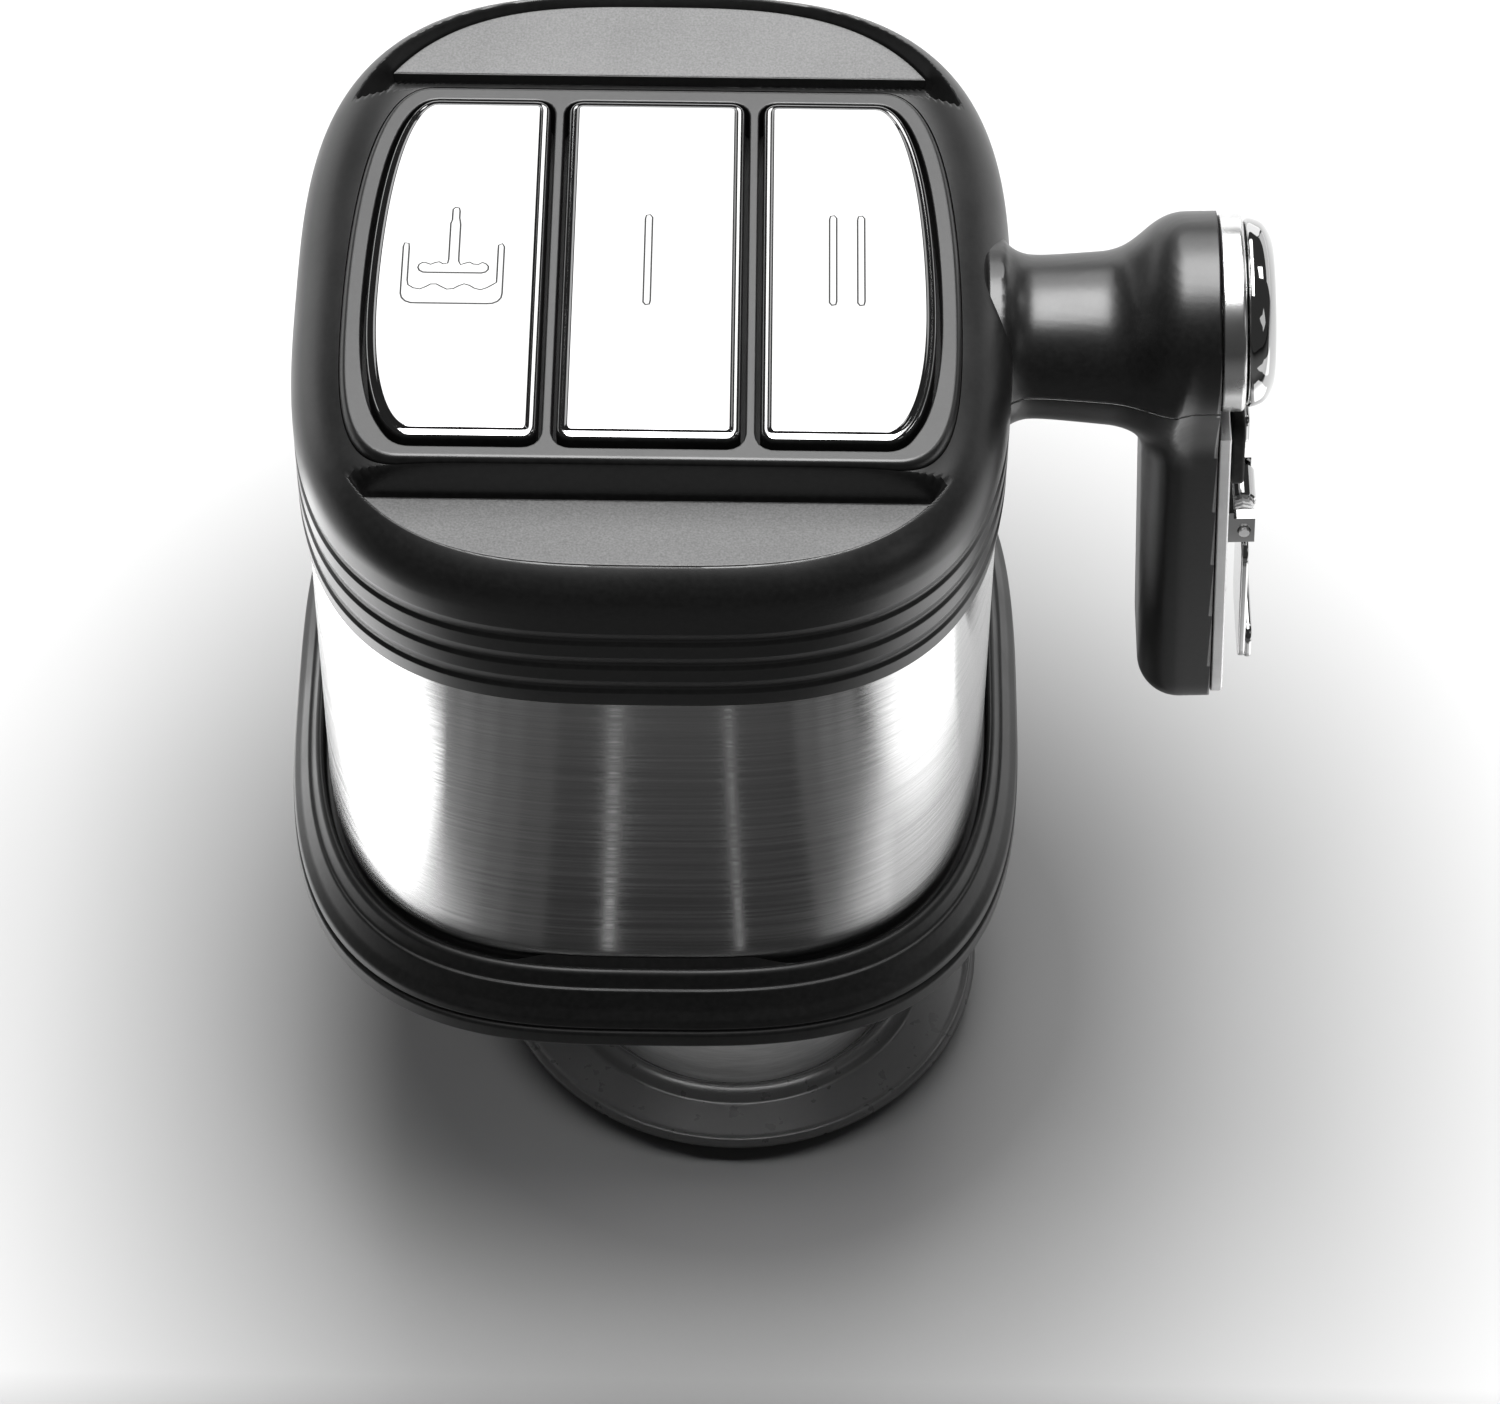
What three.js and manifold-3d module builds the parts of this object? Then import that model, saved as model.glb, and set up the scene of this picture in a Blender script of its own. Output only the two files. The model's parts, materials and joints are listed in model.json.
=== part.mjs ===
// An immersion circulator: a rounded-square head with three large keys on top, a brushed band, a black
// skirt, a side arm that hooks over a pot wall and carries a dial, and a steel sleeve on a round foot.
// Millimetres, +Z up, front towards -Y. The origin is the centre of the foot's flat underside.
import * as THREE from "three";
import { mergeVertices } from "three/addons/utils/BufferGeometryUtils.js";
import Module from "manifold-3d";

const wasm = await Module();
wasm.setup();

// ---- driving dimensions ----
const GAP = 0.3; // clearance between touching pieces
const FOOT_RADIUS = 50;
const FOOT_HEIGHT = 9.5;
const FOOT_PLATE_THICKNESS = 3.2;
const FOOT_PLATE_RADIUS = 41;
const SLEEVE_RADIUS = 33.5;
const SLEEVE_WALL = 0.8;
const SLEEVE_TOP = 95.5;
const HEAD_OFFSET = 16; // the head's axis stands this far behind the sleeve's, away from the arm
const HEAD_DEPTH_RATIO = 1.144; // front to back over side to side
const SQUARENESS = 3.1; // exponent of the head's rounded-square plan
const PLAN_SEGMENTS = 40;

const FLANGE_BOTTOM = 87;
const FLANGE_LIP = 104;
const FLANGE_HALF_WIDTH = 70.7;
const FLANGE_BORE = 60;
const FLANGE_LEDGE = 100;
const BAND_HALF_WIDTH = 63.3;
const BAND_WALL = 1.2;
const CAP_BOTTOM = 183;
const CAP_HALF_WIDTH = 64.5;
const CAP_BORE = 61.3;
const CAP_CEILING = 209;
const CAP_TOP = 220;
const RIB_PITCH = 7.6;
const RIB_DEPTH = 0.9;
const POCKET_FLOOR = 211;
const POCKET_INSET = 4.6;
const CHANNEL_FLOOR = 210; // the channel between the key panel and the rear pocket
const CHANNEL_START = 42.2;
const POCKET_TILT = 7; // degrees by which each pocket's floor rises from the bridge to the rim
const BRIDGE_HALF_DEPTH = 50.8; // the raised bridge between the two pockets
const INLAY_THICKNESS = 1;

const KEY_CENTRE_Y = -4;
const KEY_HALF_LENGTH = 40.5;
const KEY_TOP = 221.5;
const KEY_BASE = 211;
const KEY_MIDDLE_HALF_WIDTH = 16;
const KEY_INNER_X = 19.4;
const KEY_OUTER_X = 50.4;
const KEY_CLEARANCE = 0.8;
const KEY_TRAVEL = 3;
const KEY_RIM = 1.1; // the flange under a key that holds it in its window
const KEY_STEM_RADIUS = 3;
const KEY_STEM_BOTTOM = 205;
const PANEL_BOTTOM = 213.3;
const PANEL_TOP = 219.6;
const PANEL_MARGIN = 3.2;
const BOARD_BOTTOM = 197;
const BOARD_THICKNESS = 1.6;

const ARM_AXIS_Z = 199;
const NECK_RADIUS = 15.6;
const HUB_Z = 206;
const HUB_RADIUS = 18.6;
const ARM_FACE_X = 101.5; // outer face of the arm at the hub, from the head's axis
const ARM_THICKNESS = 13.6;
const ARM_LENGTH = 99; // from the hub's centre to the end of the hanging bar
const BAR_HALF_DEPTH = 14.5;
const ARM_LEAN = THREE.MathUtils.degToRad(3);
const ARM_WALL = 2.2;
const ARM_PARTING_Z = 199;
const DIAL_RADIUS = 17;
const DIAL_BASE = 4.8;
const DIAL_HEIGHT = 5.4;
const LEVER_PIVOT_Z = -51;
const LEVER_END_Z = -90;
const LEVER_FACE = 5.2;

const MOTOR_RADIUS = 24;
const MOTOR_BOTTOM = 99.3;
const MOTOR_TOP = 160;
const SHAFT_RADIUS = 2.5;
const SHAFT_BOTTOM = 16;
const SHAFT_TOP = 178;
const ROD_X = 46;
const ROD_Y = 50;
const ROD_RADIUS = 2;

// ---- materials ----
const finish = (color, roughness, metalness = 0) =>
  new THREE.MeshStandardMaterial({ color, roughness, metalness });
const BLACK = finish(0x17181a, 0.45);
const GREY_INLAY = finish(0x8d8f92, 0.6);
const CHROME = finish(0xe9ebee, 0.06, 1);
const BRUSHED = finish(0xb4b6b8, 0.32, 1);
const STEEL = finish(0xa9acb0, 0.25, 1);
const GLOSS_BLACK = finish(0x1d1f22, 0.12);
const RUBBER = finish(0x101112, 0.8);
const BOARD_GREEN = finish(0x1f5a3a, 0.6);
const WHITE_PLASTIC = finish(0xd8d9d6, 0.5);
const COPPER_BROWN = finish(0x7a4a2a, 0.5);
const BRASS = finish(0xb48a3c, 0.3, 1);

// ---- solids ----
function solid(geometry) {
  const plain = (geometry.index ? geometry.toNonIndexed() : geometry).clone();
  plain.deleteAttribute("normal");
  plain.deleteAttribute("uv");
  const merged = mergeVertices(plain, 1e-4);
  const triVerts = new Uint32Array(merged.index.array);
  const vertProperties = merged.attributes.position.array;
  const made = new wasm.Manifold(new wasm.Mesh({ numProp: 3, vertProperties, triVerts }));
  if (made.volume() > 0) return made;
  for (let i = 0; i < triVerts.length; i += 3) {
    [triVerts[i + 1], triVerts[i + 2]] = [triVerts[i + 2], triVerts[i + 1]];
  }
  return new wasm.Manifold(new wasm.Mesh({ numProp: 3, vertProperties, triVerts }));
}

function geometryOf(body) {
  const mesh = body.getMesh();
  const positions = new Float32Array(mesh.numVert * 3);
  for (let i = 0; i < mesh.numVert; i++) {
    for (let k = 0; k < 3; k++) positions[i * 3 + k] = mesh.vertProperties[i * mesh.numProp + k];
  }
  return new THREE.BufferGeometry()
    .setAttribute("position", new THREE.BufferAttribute(positions, 3))
    .setIndex(new THREE.BufferAttribute(mesh.triVerts, 1));
}

const outward = (geometry) => geometryOf(solid(geometry));
const join = (...pieces) => geometryOf(pieces.map(solid).reduce((a, b) => a.add(b)));
const cut = (body, ...tools) =>
  geometryOf(tools.map(solid).reduce((a, b) => a.subtract(b), solid(body)));
const common = (a, b) => geometryOf(solid(a).intersect(solid(b)));

function piece(name, geometry, material, x = 0, y = 0, z = 0) {
  const mesh = new THREE.Mesh(outward(geometry), material);
  mesh.name = name;
  mesh.position.set(x, y, z);
  return mesh;
}

function group(x, y, z, ...members) {
  const made = new THREE.Group();
  made.position.set(x, y, z);
  made.add(...members);
  return made;
}

// A box from its lowest corner to its highest.
function boxBetween([x0, y0, z0], [x1, y1, z1]) {
  const box = new THREE.BoxGeometry(x1 - x0, y1 - y0, z1 - z0);
  return box.translate((x0 + x1) / 2, (y0 + y1) / 2, (z0 + z1) / 2);
}

// A solid of revolution about Z from a profile of [radius, height].
function turned(profile, segments = 24) {
  const points = profile.map(([r, z]) => new THREE.Vector2(r, z));
  return new THREE.LatheGeometry(points, segments).rotateX(Math.PI / 2);
}

// The same, turned about X: each profile point is [radius, place along X].
const turnedAlongX = (profile, segments) => turned(profile, segments).rotateY(Math.PI / 2);

const rod = (radius, z0, z1, segments = 12) =>
  turned([[0, z0], [radius, z0], [radius, z1], [0, z1]], segments);

const ring = (inner, outer, z0, z1, segments = 24) =>
  turned([[inner, z0], [outer, z0], [outer, z1], [inner, z1], [inner, z0]], segments);

// Radius of the rounded-square plan in a direction, for a half width of 1.
const squareness = (angle) =>
  (Math.abs(Math.cos(angle)) ** SQUARENESS + Math.abs(Math.sin(angle)) ** SQUARENESS) **
  (-1 / SQUARENESS);

// A turned profile pulled out to the head's rounded-square plan; radii become half widths.
function squareTurned(profile) {
  const made = turned(profile, PLAN_SEGMENTS);
  const place = made.attributes.position;
  for (let i = 0; i < place.count; i++) {
    const reach = squareness(Math.atan2(place.getY(i), place.getX(i)));
    place.setX(i, place.getX(i) * reach);
    place.setY(i, place.getY(i) * reach * HEAD_DEPTH_RATIO);
  }
  return made;
}

function extruded(shape, depth, options = {}) {
  return new THREE.ExtrudeGeometry(shape, { depth, bevelEnabled: false, ...options });
}

// A shape drawn in Y and Z, extruded along X.
const extrudedAlongX = (shape, depth, options) =>
  extruded(shape, depth, options).rotateY(Math.PI / 2).rotateX(Math.PI / 2);

function tubeAlong(points, radius, steps, sides = 6, closed = false) {
  const path = new THREE.CatmullRomCurve3(points, closed);
  const section = new THREE.Shape(
    new THREE.EllipseCurve(0, 0, radius, radius).getPoints(sides).slice(0, sides),
  );
  return extruded(section, 1, { extrudePath: path, steps });
}

function coilPoints(radius, z0, z1, turns, perTurn = 8) {
  const count = turns * perTurn;
  return Array.from({ length: count + 1 }, (_, i) => {
    const angle = (i / perTurn) * 2 * Math.PI;
    const height = z0 + ((z1 - z0) * i) / count;
    return new THREE.Vector3(radius * Math.cos(angle), radius * Math.sin(angle), height);
  });
}

function roundedRectangle(x0, y0, x1, y1, radius) {
  const shape = new THREE.Shape();
  shape.absarc(x1 - radius, y0 + radius, radius, -Math.PI / 2, 0);
  shape.absarc(x1 - radius, y1 - radius, radius, 0, Math.PI / 2);
  shape.absarc(x0 + radius, y1 - radius, radius, Math.PI / 2, Math.PI);
  shape.absarc(x0 + radius, y0 + radius, radius, Math.PI, 1.5 * Math.PI);
  return shape;
}

// ---- foot and immersion sleeve ----
function footRing() {
  const profile = [
    [SLEEVE_RADIUS + GAP, FOOT_PLATE_THICKNESS + GAP],
    [FOOT_PLATE_RADIUS + GAP, FOOT_PLATE_THICKNESS + GAP],
    [FOOT_PLATE_RADIUS + GAP, 0.6],
    [FOOT_PLATE_RADIUS + 3, 0.6],
    [FOOT_RADIUS - 0.6, FOOT_HEIGHT - 3.4],
    [FOOT_RADIUS, FOOT_HEIGHT - 2.2],
    [FOOT_RADIUS - 1.4, FOOT_HEIGHT - 0.6],
    [FOOT_RADIUS - 2.4, FOOT_HEIGHT - 1.4],
    [SLEEVE_RADIUS + 5.5, FOOT_HEIGHT - 1.8],
    [SLEEVE_RADIUS + 4.6, FOOT_HEIGHT],
    [SLEEVE_RADIUS + 3.2, FOOT_HEIGHT + 0.8],
    [SLEEVE_RADIUS + 2, FOOT_HEIGHT],
    [SLEEVE_RADIUS + 1.5, FOOT_HEIGHT - 2.4],
    [SLEEVE_RADIUS + GAP, FOOT_HEIGHT - 2.4],
  ];
  return turned([...profile, profile[0]], 36);
}

function footPlate() {
  const radius = FOOT_PLATE_RADIUS;
  return turned([[0, 0], [radius - 1, 0], [radius, 1], [radius, FOOT_PLATE_THICKNESS],
    [0, FOOT_PLATE_THICKNESS]], 36);
}

const INLETS = { count: 10, halfWidth: 1.8, z0: 34, z1: 52 };
const OUTLETS = { count: 5, halfWidth: 1.3, z0: 14, z1: 30, pitch: 10 }; // at the impeller's level

// Water comes in through the ring of slots, and the impeller throws it out behind, away from the arm.
function immersionSleeve() {
  const bottom = FOOT_PLATE_THICKNESS + GAP;
  const tube = ring(SLEEVE_RADIUS - SLEEVE_WALL, SLEEVE_RADIUS, bottom, SLEEVE_TOP, 36);
  const slot = ({ halfWidth, z0, z1 }, degrees) =>
    boxBetween([SLEEVE_RADIUS - 6, -halfWidth, z0], [SLEEVE_RADIUS + 4, halfWidth, z1])
      .rotateZ(THREE.MathUtils.degToRad(degrees));
  const slots = [];
  for (let i = 0; i < INLETS.count; i++) slots.push(slot(INLETS, ((i + 0.5) / INLETS.count) * 360));
  for (let i = 0; i < OUTLETS.count; i++) slots.push(slot(OUTLETS, 180 + (i - 2) * OUTLETS.pitch));
  return cut(tube, ...slots);
}

const HEATER_RADIUS = 20;
const HEATER_TUBE = 2.8;
const INNER_LEG_RADIUS = 10;

function heaterCoil() {
  const top = SLEEVE_TOP - 2;
  const coil = coilPoints(HEATER_RADIUS, 70, 38, 4, 10);
  const up = (x, z) => new THREE.Vector3(x, 0, z);
  return tubeAlong([up(HEATER_RADIUS, top), up(HEATER_RADIUS, 86), up(HEATER_RADIUS, 79),
    ...coil.slice(1), up(INNER_LEG_RADIUS + 2, 36), up(INNER_LEG_RADIUS, 44),
    up(INNER_LEG_RADIUS, 80), up(INNER_LEG_RADIUS, top)], HEATER_TUBE, 66, 6);
}

const PROBE_REACH = 28.3;
const PROBES = [
  { name: "temperature_probe", angle: 90, radius: 2, bottom: 22 },
  { name: "level_rod_low", angle: 210, radius: 1.5, bottom: 40 },
  { name: "level_rod_high", angle: 250, radius: 1.5, bottom: 66 },
];
const probeAt = ({ angle }) => {
  const turn = THREE.MathUtils.degToRad(angle);
  return [PROBE_REACH * Math.cos(turn), PROBE_REACH * Math.sin(turn)];
};

const probe = ({ radius, bottom }) =>
  turned([[0, bottom], [radius * 0.6, bottom + 0.4], [radius, bottom + 2],
    [radius, SLEEVE_TOP - 2], [0, SLEEVE_TOP - 2]], 12);

function sealPlate() {
  const plate = turned([[0, 84], [SLEEVE_RADIUS - SLEEVE_WALL - GAP, 84],
    [SLEEVE_RADIUS - SLEEVE_WALL - GAP, 90], [0, 90]], 40);
  const holes = [rod(SHAFT_RADIUS + 0.5, 80, 94)];
  for (const x of [HEATER_RADIUS, INNER_LEG_RADIUS]) {
    holes.push(rod(HEATER_TUBE + GAP, 80, 94).translate(x, 0, 0));
  }
  for (const item of PROBES) {
    holes.push(rod(item.radius + GAP, 80, 94, 12).translate(...probeAt(item), 0));
  }
  return cut(plate, ...holes);
}

function bladed(hubRadius, reach, z0, z1, count, thickness, twist) {
  const hub = rod(hubRadius, z0, z1, 20);
  const blades = [];
  for (let i = 0; i < count; i++) {
    const blade = boxBetween([hubRadius - 1.5, -thickness / 2, z0 + 0.4],
      [reach, thickness / 2, z1 - 0.4]);
    blade.translate(0, 0, -(z0 + z1) / 2).rotateX(twist).translate(0, 0, (z0 + z1) / 2);
    blades.push(blade.rotateZ((i / count) * 2 * Math.PI));
  }
  return cut(join(hub, ...blades), rod(SHAFT_RADIUS + GAP, z0 - 1, z1 + 1));
}

// ---- head ----
function baseFlange() {
  const w = FLANGE_HALF_WIDTH;
  const lip = BAND_HALF_WIDTH + 0.9;
  const profile = [
    [FLANGE_BORE, FLANGE_BOTTOM], [w - 1.4, FLANGE_BOTTOM], [w, FLANGE_BOTTOM + 1.4],
    [w, FLANGE_BOTTOM + 5], [w - 0.7, FLANGE_BOTTOM + 5.6], [w - 0.4, FLANGE_BOTTOM + 8.4],
    [w - 1.6, FLANGE_BOTTOM + 10.4], [lip + 1.6, FLANGE_LIP - 0.6], [lip + 0.7, FLANGE_LIP],
    [lip, FLANGE_LIP - 0.6], [lip, FLANGE_LEDGE], [FLANGE_BORE, FLANGE_LEDGE],
  ];
  return squareTurned([...profile, profile[0]]);
}

function steelBand() {
  const [z0, z1] = [FLANGE_LEDGE + GAP, CAP_BOTTOM - GAP];
  const inner = BAND_HALF_WIDTH - BAND_WALL;
  return squareTurned([[inner, z0], [BAND_HALF_WIDTH, z0], [BAND_HALF_WIDTH, z1], [inner, z1],
    [inner, z0]]);
}

function capGasket() {
  const outer = CAP_BORE - GAP;
  return squareTurned([[outer - 2.2, CAP_BOTTOM - 4], [outer, CAP_BOTTOM - 4],
    [outer, CAP_BOTTOM + 4], [outer - 2.2, CAP_BOTTOM + 4], [outer - 2.2, CAP_BOTTOM - 4]]);
}

const FLOOR_BOTTOM = 88.5;
const FLOOR_TOP = 91.2;
const GLAND_Y = 56;
const GLAND_RADIUS = 6.5;
const RODS = [[ROD_X, ROD_Y], [-ROD_X, ROD_Y], [-ROD_X, -ROD_Y], [ROD_X, -ROD_Y]];

function baseFloor() {
  const reach = FLANGE_BORE - GAP;
  const plate = squareTurned([[0, FLOOR_BOTTOM], [reach, FLOOR_BOTTOM], [reach, FLOOR_TOP],
    [0, FLOOR_TOP]]);
  const drill = (radius, x, y, sides) =>
    rod(radius, FLOOR_BOTTOM - 2, FLOOR_TOP + 2, sides).translate(x, y, 0);
  const holes = RODS.map(([x, y]) => drill(ROD_RADIUS + GAP, x, y, 12));
  holes.push(drill(SLEEVE_RADIUS + GAP, HEAD_OFFSET, 0, 48));
  holes.push(drill(GLAND_RADIUS + GAP, 0, GLAND_Y, 20));
  return cut(plate, ...holes);
}

const cordGland = () => turned([[3.4, 82], [GLAND_RADIUS - 1, 82], [GLAND_RADIUS + 2.5, 86],
  [GLAND_RADIUS + 2.5, FLOOR_BOTTOM - GAP], [GLAND_RADIUS, FLOOR_BOTTOM - GAP],
  [GLAND_RADIUS, 97], [3.4, 97], [3.4, 82]], 20);

const sleeveCollar = () => turned([[SLEEVE_RADIUS + GAP, 79], [SLEEVE_RADIUS + 3, 79],
  [SLEEVE_RADIUS + 5, 81], [SLEEVE_RADIUS + 5, FLOOR_BOTTOM - GAP],
  [SLEEVE_RADIUS + GAP, FLOOR_BOTTOM - GAP], [SLEEVE_RADIUS + GAP, 79]], 40);

const tieRod = () => turned([[0, 84.6], [1.4, 84.6], [1.4, 83.8], [3.2, 83.8], [4, 84.8],
  [4, FLOOR_BOTTOM - GAP], [ROD_RADIUS, FLOOR_BOTTOM - GAP], [ROD_RADIUS, CAP_CEILING - 2],
  [0, CAP_CEILING - 2]], 12);

function capProfile(grow = 0) {
  const w = CAP_HALF_WIDTH + grow;
  return [[w, CAP_TOP - 15], [w - 0.6, CAP_TOP - 10.5], [w - 2.2, CAP_TOP - 6.4],
    [w - 4.8, CAP_TOP - 3], [w - 8, CAP_TOP - 0.9 + grow], [w - 11.5, CAP_TOP + grow],
    [0, CAP_TOP + grow]];
}

// The sides step in at thin horizontal grooves above the lower edge.
function ribs() {
  const points = [[CAP_HALF_WIDTH - 0.5, CAP_BOTTOM]];
  for (let i = 0; i < 3; i++) {
    const z = CAP_BOTTOM + 4.6 + i * RIB_PITCH * 0.86;
    const w = CAP_HALF_WIDTH;
    points.push([w, z - 1.1], [w - RIB_DEPTH, z - 0.5], [w - RIB_DEPTH, z + 0.5], [w, z + 1.1]);
  }
  return points;
}

// Plan of the key panel: straight front and back, sides that bulge out.
function panelShape(margin) {
  const [back, front] = [
    KEY_CENTRE_Y + KEY_HALF_LENGTH + margin, KEY_CENTRE_Y - KEY_HALF_LENGTH - margin];
  const [backX, frontX] = [38 + margin, 40 + margin];
  const bulge = KEY_OUTER_X + margin;
  const shape = new THREE.Shape();
  shape.moveTo(-frontX, front);
  shape.lineTo(frontX, front);
  shape.bezierCurveTo(bulge - 1, front, bulge, front + 14, bulge, -14);
  shape.bezierCurveTo(bulge, 4, bulge - 1.5, back, backX, back);
  shape.lineTo(-backX, back);
  shape.bezierCurveTo(-bulge + 1.5, back, -bulge, 4, -bulge, -14);
  shape.bezierCurveTo(-bulge, front + 14, -bulge + 1, front, -frontX, front);
  return shape;
}

// Plan of a key: a window of the panel's outline, with rounded inner corners.
function keyShape(side, grow) {
  const [back, front] = [
    KEY_CENTRE_Y + KEY_HALF_LENGTH + grow, KEY_CENTRE_Y - KEY_HALF_LENGTH - grow];
  if (side === 0) {
    const w = KEY_MIDDLE_HALF_WIDTH + grow;
    return roundedRectangle(-w, front, w, back, 2.5);
  }
  const at = (x) => side * x;
  const inner = KEY_INNER_X - grow;
  const outer = KEY_OUTER_X + grow;
  const shape = new THREE.Shape();
  shape.moveTo(at(inner), front + 2.5);
  shape.quadraticCurveTo(at(inner), front, at(inner + 2.5), front);
  shape.lineTo(at(outer - 9), front);
  shape.bezierCurveTo(at(outer - 3), front, at(outer), front + 13, at(outer), -14);
  shape.bezierCurveTo(at(outer), 2, at(outer - 1.5), back, at(outer - 10.5), back);
  shape.lineTo(at(inner + 2.5), back);
  shape.quadraticCurveTo(at(inner), back, at(inner), back - 2.5);
  return shape;
}

const CURVE_STEPS = { curveSegments: 5 };

function topCap() {
  const inner = [[0, CAP_CEILING], [CAP_BORE - 3, CAP_CEILING], [CAP_BORE, CAP_CEILING - 4],
    [CAP_BORE, CAP_BOTTOM]];
  const shell = squareTurned([...inner, ...ribs(), ...capProfile()]);
  const bosses = RODS.map(([x, y]) =>
    rod(ROD_RADIUS + 2.5, CAP_CEILING - 9, CAP_CEILING + 1, 12).translate(x, y, 0));
  const holes = RODS.map(([x, y]) =>
    rod(ROD_RADIUS + GAP, CAP_CEILING - 10, CAP_CEILING - 1.5, 12).translate(x, y, 0));
  const window = extruded(panelShape(PANEL_MARGIN + GAP), 20, CURVE_STEPS);
  const neckBore = turnedAlongX([[0, 40], [7, 40], [7, 80], [0, 80]], 20);
  return cut(join(shell, ...bosses), ...holes, window.translate(0, 0, CAP_CEILING - 2),
    pocket(1, POCKET_INSET, 0, 20), pocket(-1, POCKET_INSET, 0, 20), channel(),
    neckBore.translate(0, 0, ARM_AXIS_Z));
}

// What lies inside the rim between two depths and above a height.
function insideRim(inset, y0, y1, z0) {
  const w = CAP_HALF_WIDTH - inset;
  const z1 = CAP_TOP + 5;
  const disc = squareTurned([[0, z0], [w, z0], [w, z1], [0, z1]]);
  return common(disc, boxBetween([-100, y0, z0], [100, y1, z1]));
}

const channel = () =>
  insideRim(POCKET_INSET, CHANNEL_START, BRIDGE_HALF_DEPTH + 0.1, CHANNEL_FLOOR);

// The half-moon space between the bridge and the rim, behind it or in front of it. It starts at a
// lift above the sloping floor.
function pocket(side, inset, lift, height) {
  const near = BRIDGE_HALF_DEPTH + inset - POCKET_INSET;
  const [y0, y1] = side > 0 ? [near, 100] : [-100, -near];
  const slab = boxBetween([-100, -60, lift], [100, 60, lift + height])
    .rotateX(THREE.MathUtils.degToRad(side * POCKET_TILT))
    .translate(0, side * BRIDGE_HALF_DEPTH, POCKET_FLOOR);
  return common(insideRim(inset, y0, y1, POCKET_FLOOR - 1), slab);
}

const inlay = (side) => pocket(side, POCKET_INSET + GAP, GAP, INLAY_THICKNESS);

function keyPanel() {
  const plate = extruded(panelShape(PANEL_MARGIN), PANEL_TOP - PANEL_BOTTOM, CURVE_STEPS);
  const windows = [-1, 0, 1].map((side) =>
    extruded(keyShape(side, KEY_CLEARANCE), 30, CURVE_STEPS).translate(0, 0, -10));
  return cut(plate, ...windows).translate(0, 0, PANEL_BOTTOM);
}

const keyStemX = (side) => side * (KEY_INNER_X + KEY_OUTER_X) / 2;

function key(side) {
  const edge = { bevelEnabled: true, bevelThickness: 1.2, bevelSize: 1.2, bevelOffset: -1.2,
    bevelSegments: 2, ...CURVE_STEPS };
  const body = extruded(keyShape(side, 0), KEY_TOP - KEY_BASE - 2.4, edge);
  const flange = extruded(keyShape(side, KEY_RIM), 1.8, CURVE_STEPS);
  const stem = rod(KEY_STEM_RADIUS, KEY_STEM_BOTTOM, KEY_BASE + 2, 16);
  return join(body.translate(0, 0, KEY_BASE + 1.2), flange.translate(0, 0, KEY_BASE),
    stem.translate(keyStemX(side), KEY_CENTRE_Y, 0));
}

const SPRING_BOTTOM = BOARD_BOTTOM + BOARD_THICKNESS + GAP;
const keySpring = () =>
  tubeAlong(coilPoints(4.8, SPRING_BOTTOM + 0.5, KEY_BASE - 0.9, 4), 0.5, 32, 4);

const keySwitch = () => join(boxBetween([-2.4, -2.4, SPRING_BOTTOM], [2.4, 2.4, 200.6]),
  rod(1.5, 200, KEY_STEM_BOTTOM - KEY_TRAVEL - 0.4, 10));

const keyBoard = () => boxBetween([-42, KEY_CENTRE_Y - 30, BOARD_BOTTOM],
  [42, KEY_CENTRE_Y + 30, BOARD_BOTTOM + BOARD_THICKNESS]);

function switchTray() {
  const plate = boxBetween([-42, KEY_CENTRE_Y - 32, 192.5], [42, KEY_CENTRE_Y + 32, 194.5]);
  const posts = [[-38, -30], [38, -30], [-38, 22], [38, 22]].map(([x, y]) =>
    rod(3, 194, BOARD_BOTTOM - GAP, 10).translate(x, y, 0));
  return join(plate, ...posts);
}

// ---- drive ----
const motorMount = () => turned([[6.5, 96], [40, 96], [40, FLOOR_TOP + GAP],
  [43, FLOOR_TOP + GAP], [43, 99], [6.5, 99], [6.5, 96]], 32);

const motorCan = () => turned([[3.2, MOTOR_BOTTOM], [MOTOR_RADIUS - 2, MOTOR_BOTTOM],
  [MOTOR_RADIUS, MOTOR_BOTTOM + 2], [MOTOR_RADIUS, MOTOR_TOP - 2], [MOTOR_RADIUS - 2, MOTOR_TOP],
  [3.2, MOTOR_TOP], [3.2, MOTOR_BOTTOM]], 32);

// ---- arm ----
// Plan of the hanging bar seen from the side: a round hub that runs down into a narrower bar.
function armShape(inset, hubOnly = false) {
  const r = HUB_RADIUS - inset;
  const w = BAR_HALF_DEPTH - inset;
  const end = -(ARM_LENGTH - inset);
  const corner = Math.max(9 - inset, 2);
  const shape = new THREE.Shape();
  if (hubOnly) {
    shape.absarc(0, 0, r, 0, 2 * Math.PI);
    return shape;
  }
  shape.absarc(0, 0, r, THREE.MathUtils.degToRad(-32), THREE.MathUtils.degToRad(212));
  shape.quadraticCurveTo(-w, -24, -w, -34);
  shape.lineTo(-w, end + corner);
  shape.absarc(-w + corner, end + corner, corner, Math.PI, 1.5 * Math.PI);
  shape.absarc(w - corner, end + corner, corner, -Math.PI / 2, 0);
  shape.lineTo(w, -34);
  shape.quadraticCurveTo(w, -24, r * Math.cos(0.56), -r * Math.sin(0.56));
  return shape;
}

// In the arm's leaning frame: X is outwards from the outer face, Z up from the hub's centre.
const intoHead = new THREE.Matrix4()
  .makeTranslation(ARM_FACE_X, 0, HUB_Z)
  .multiply(new THREE.Matrix4().makeRotationY(-ARM_LEAN));

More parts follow.
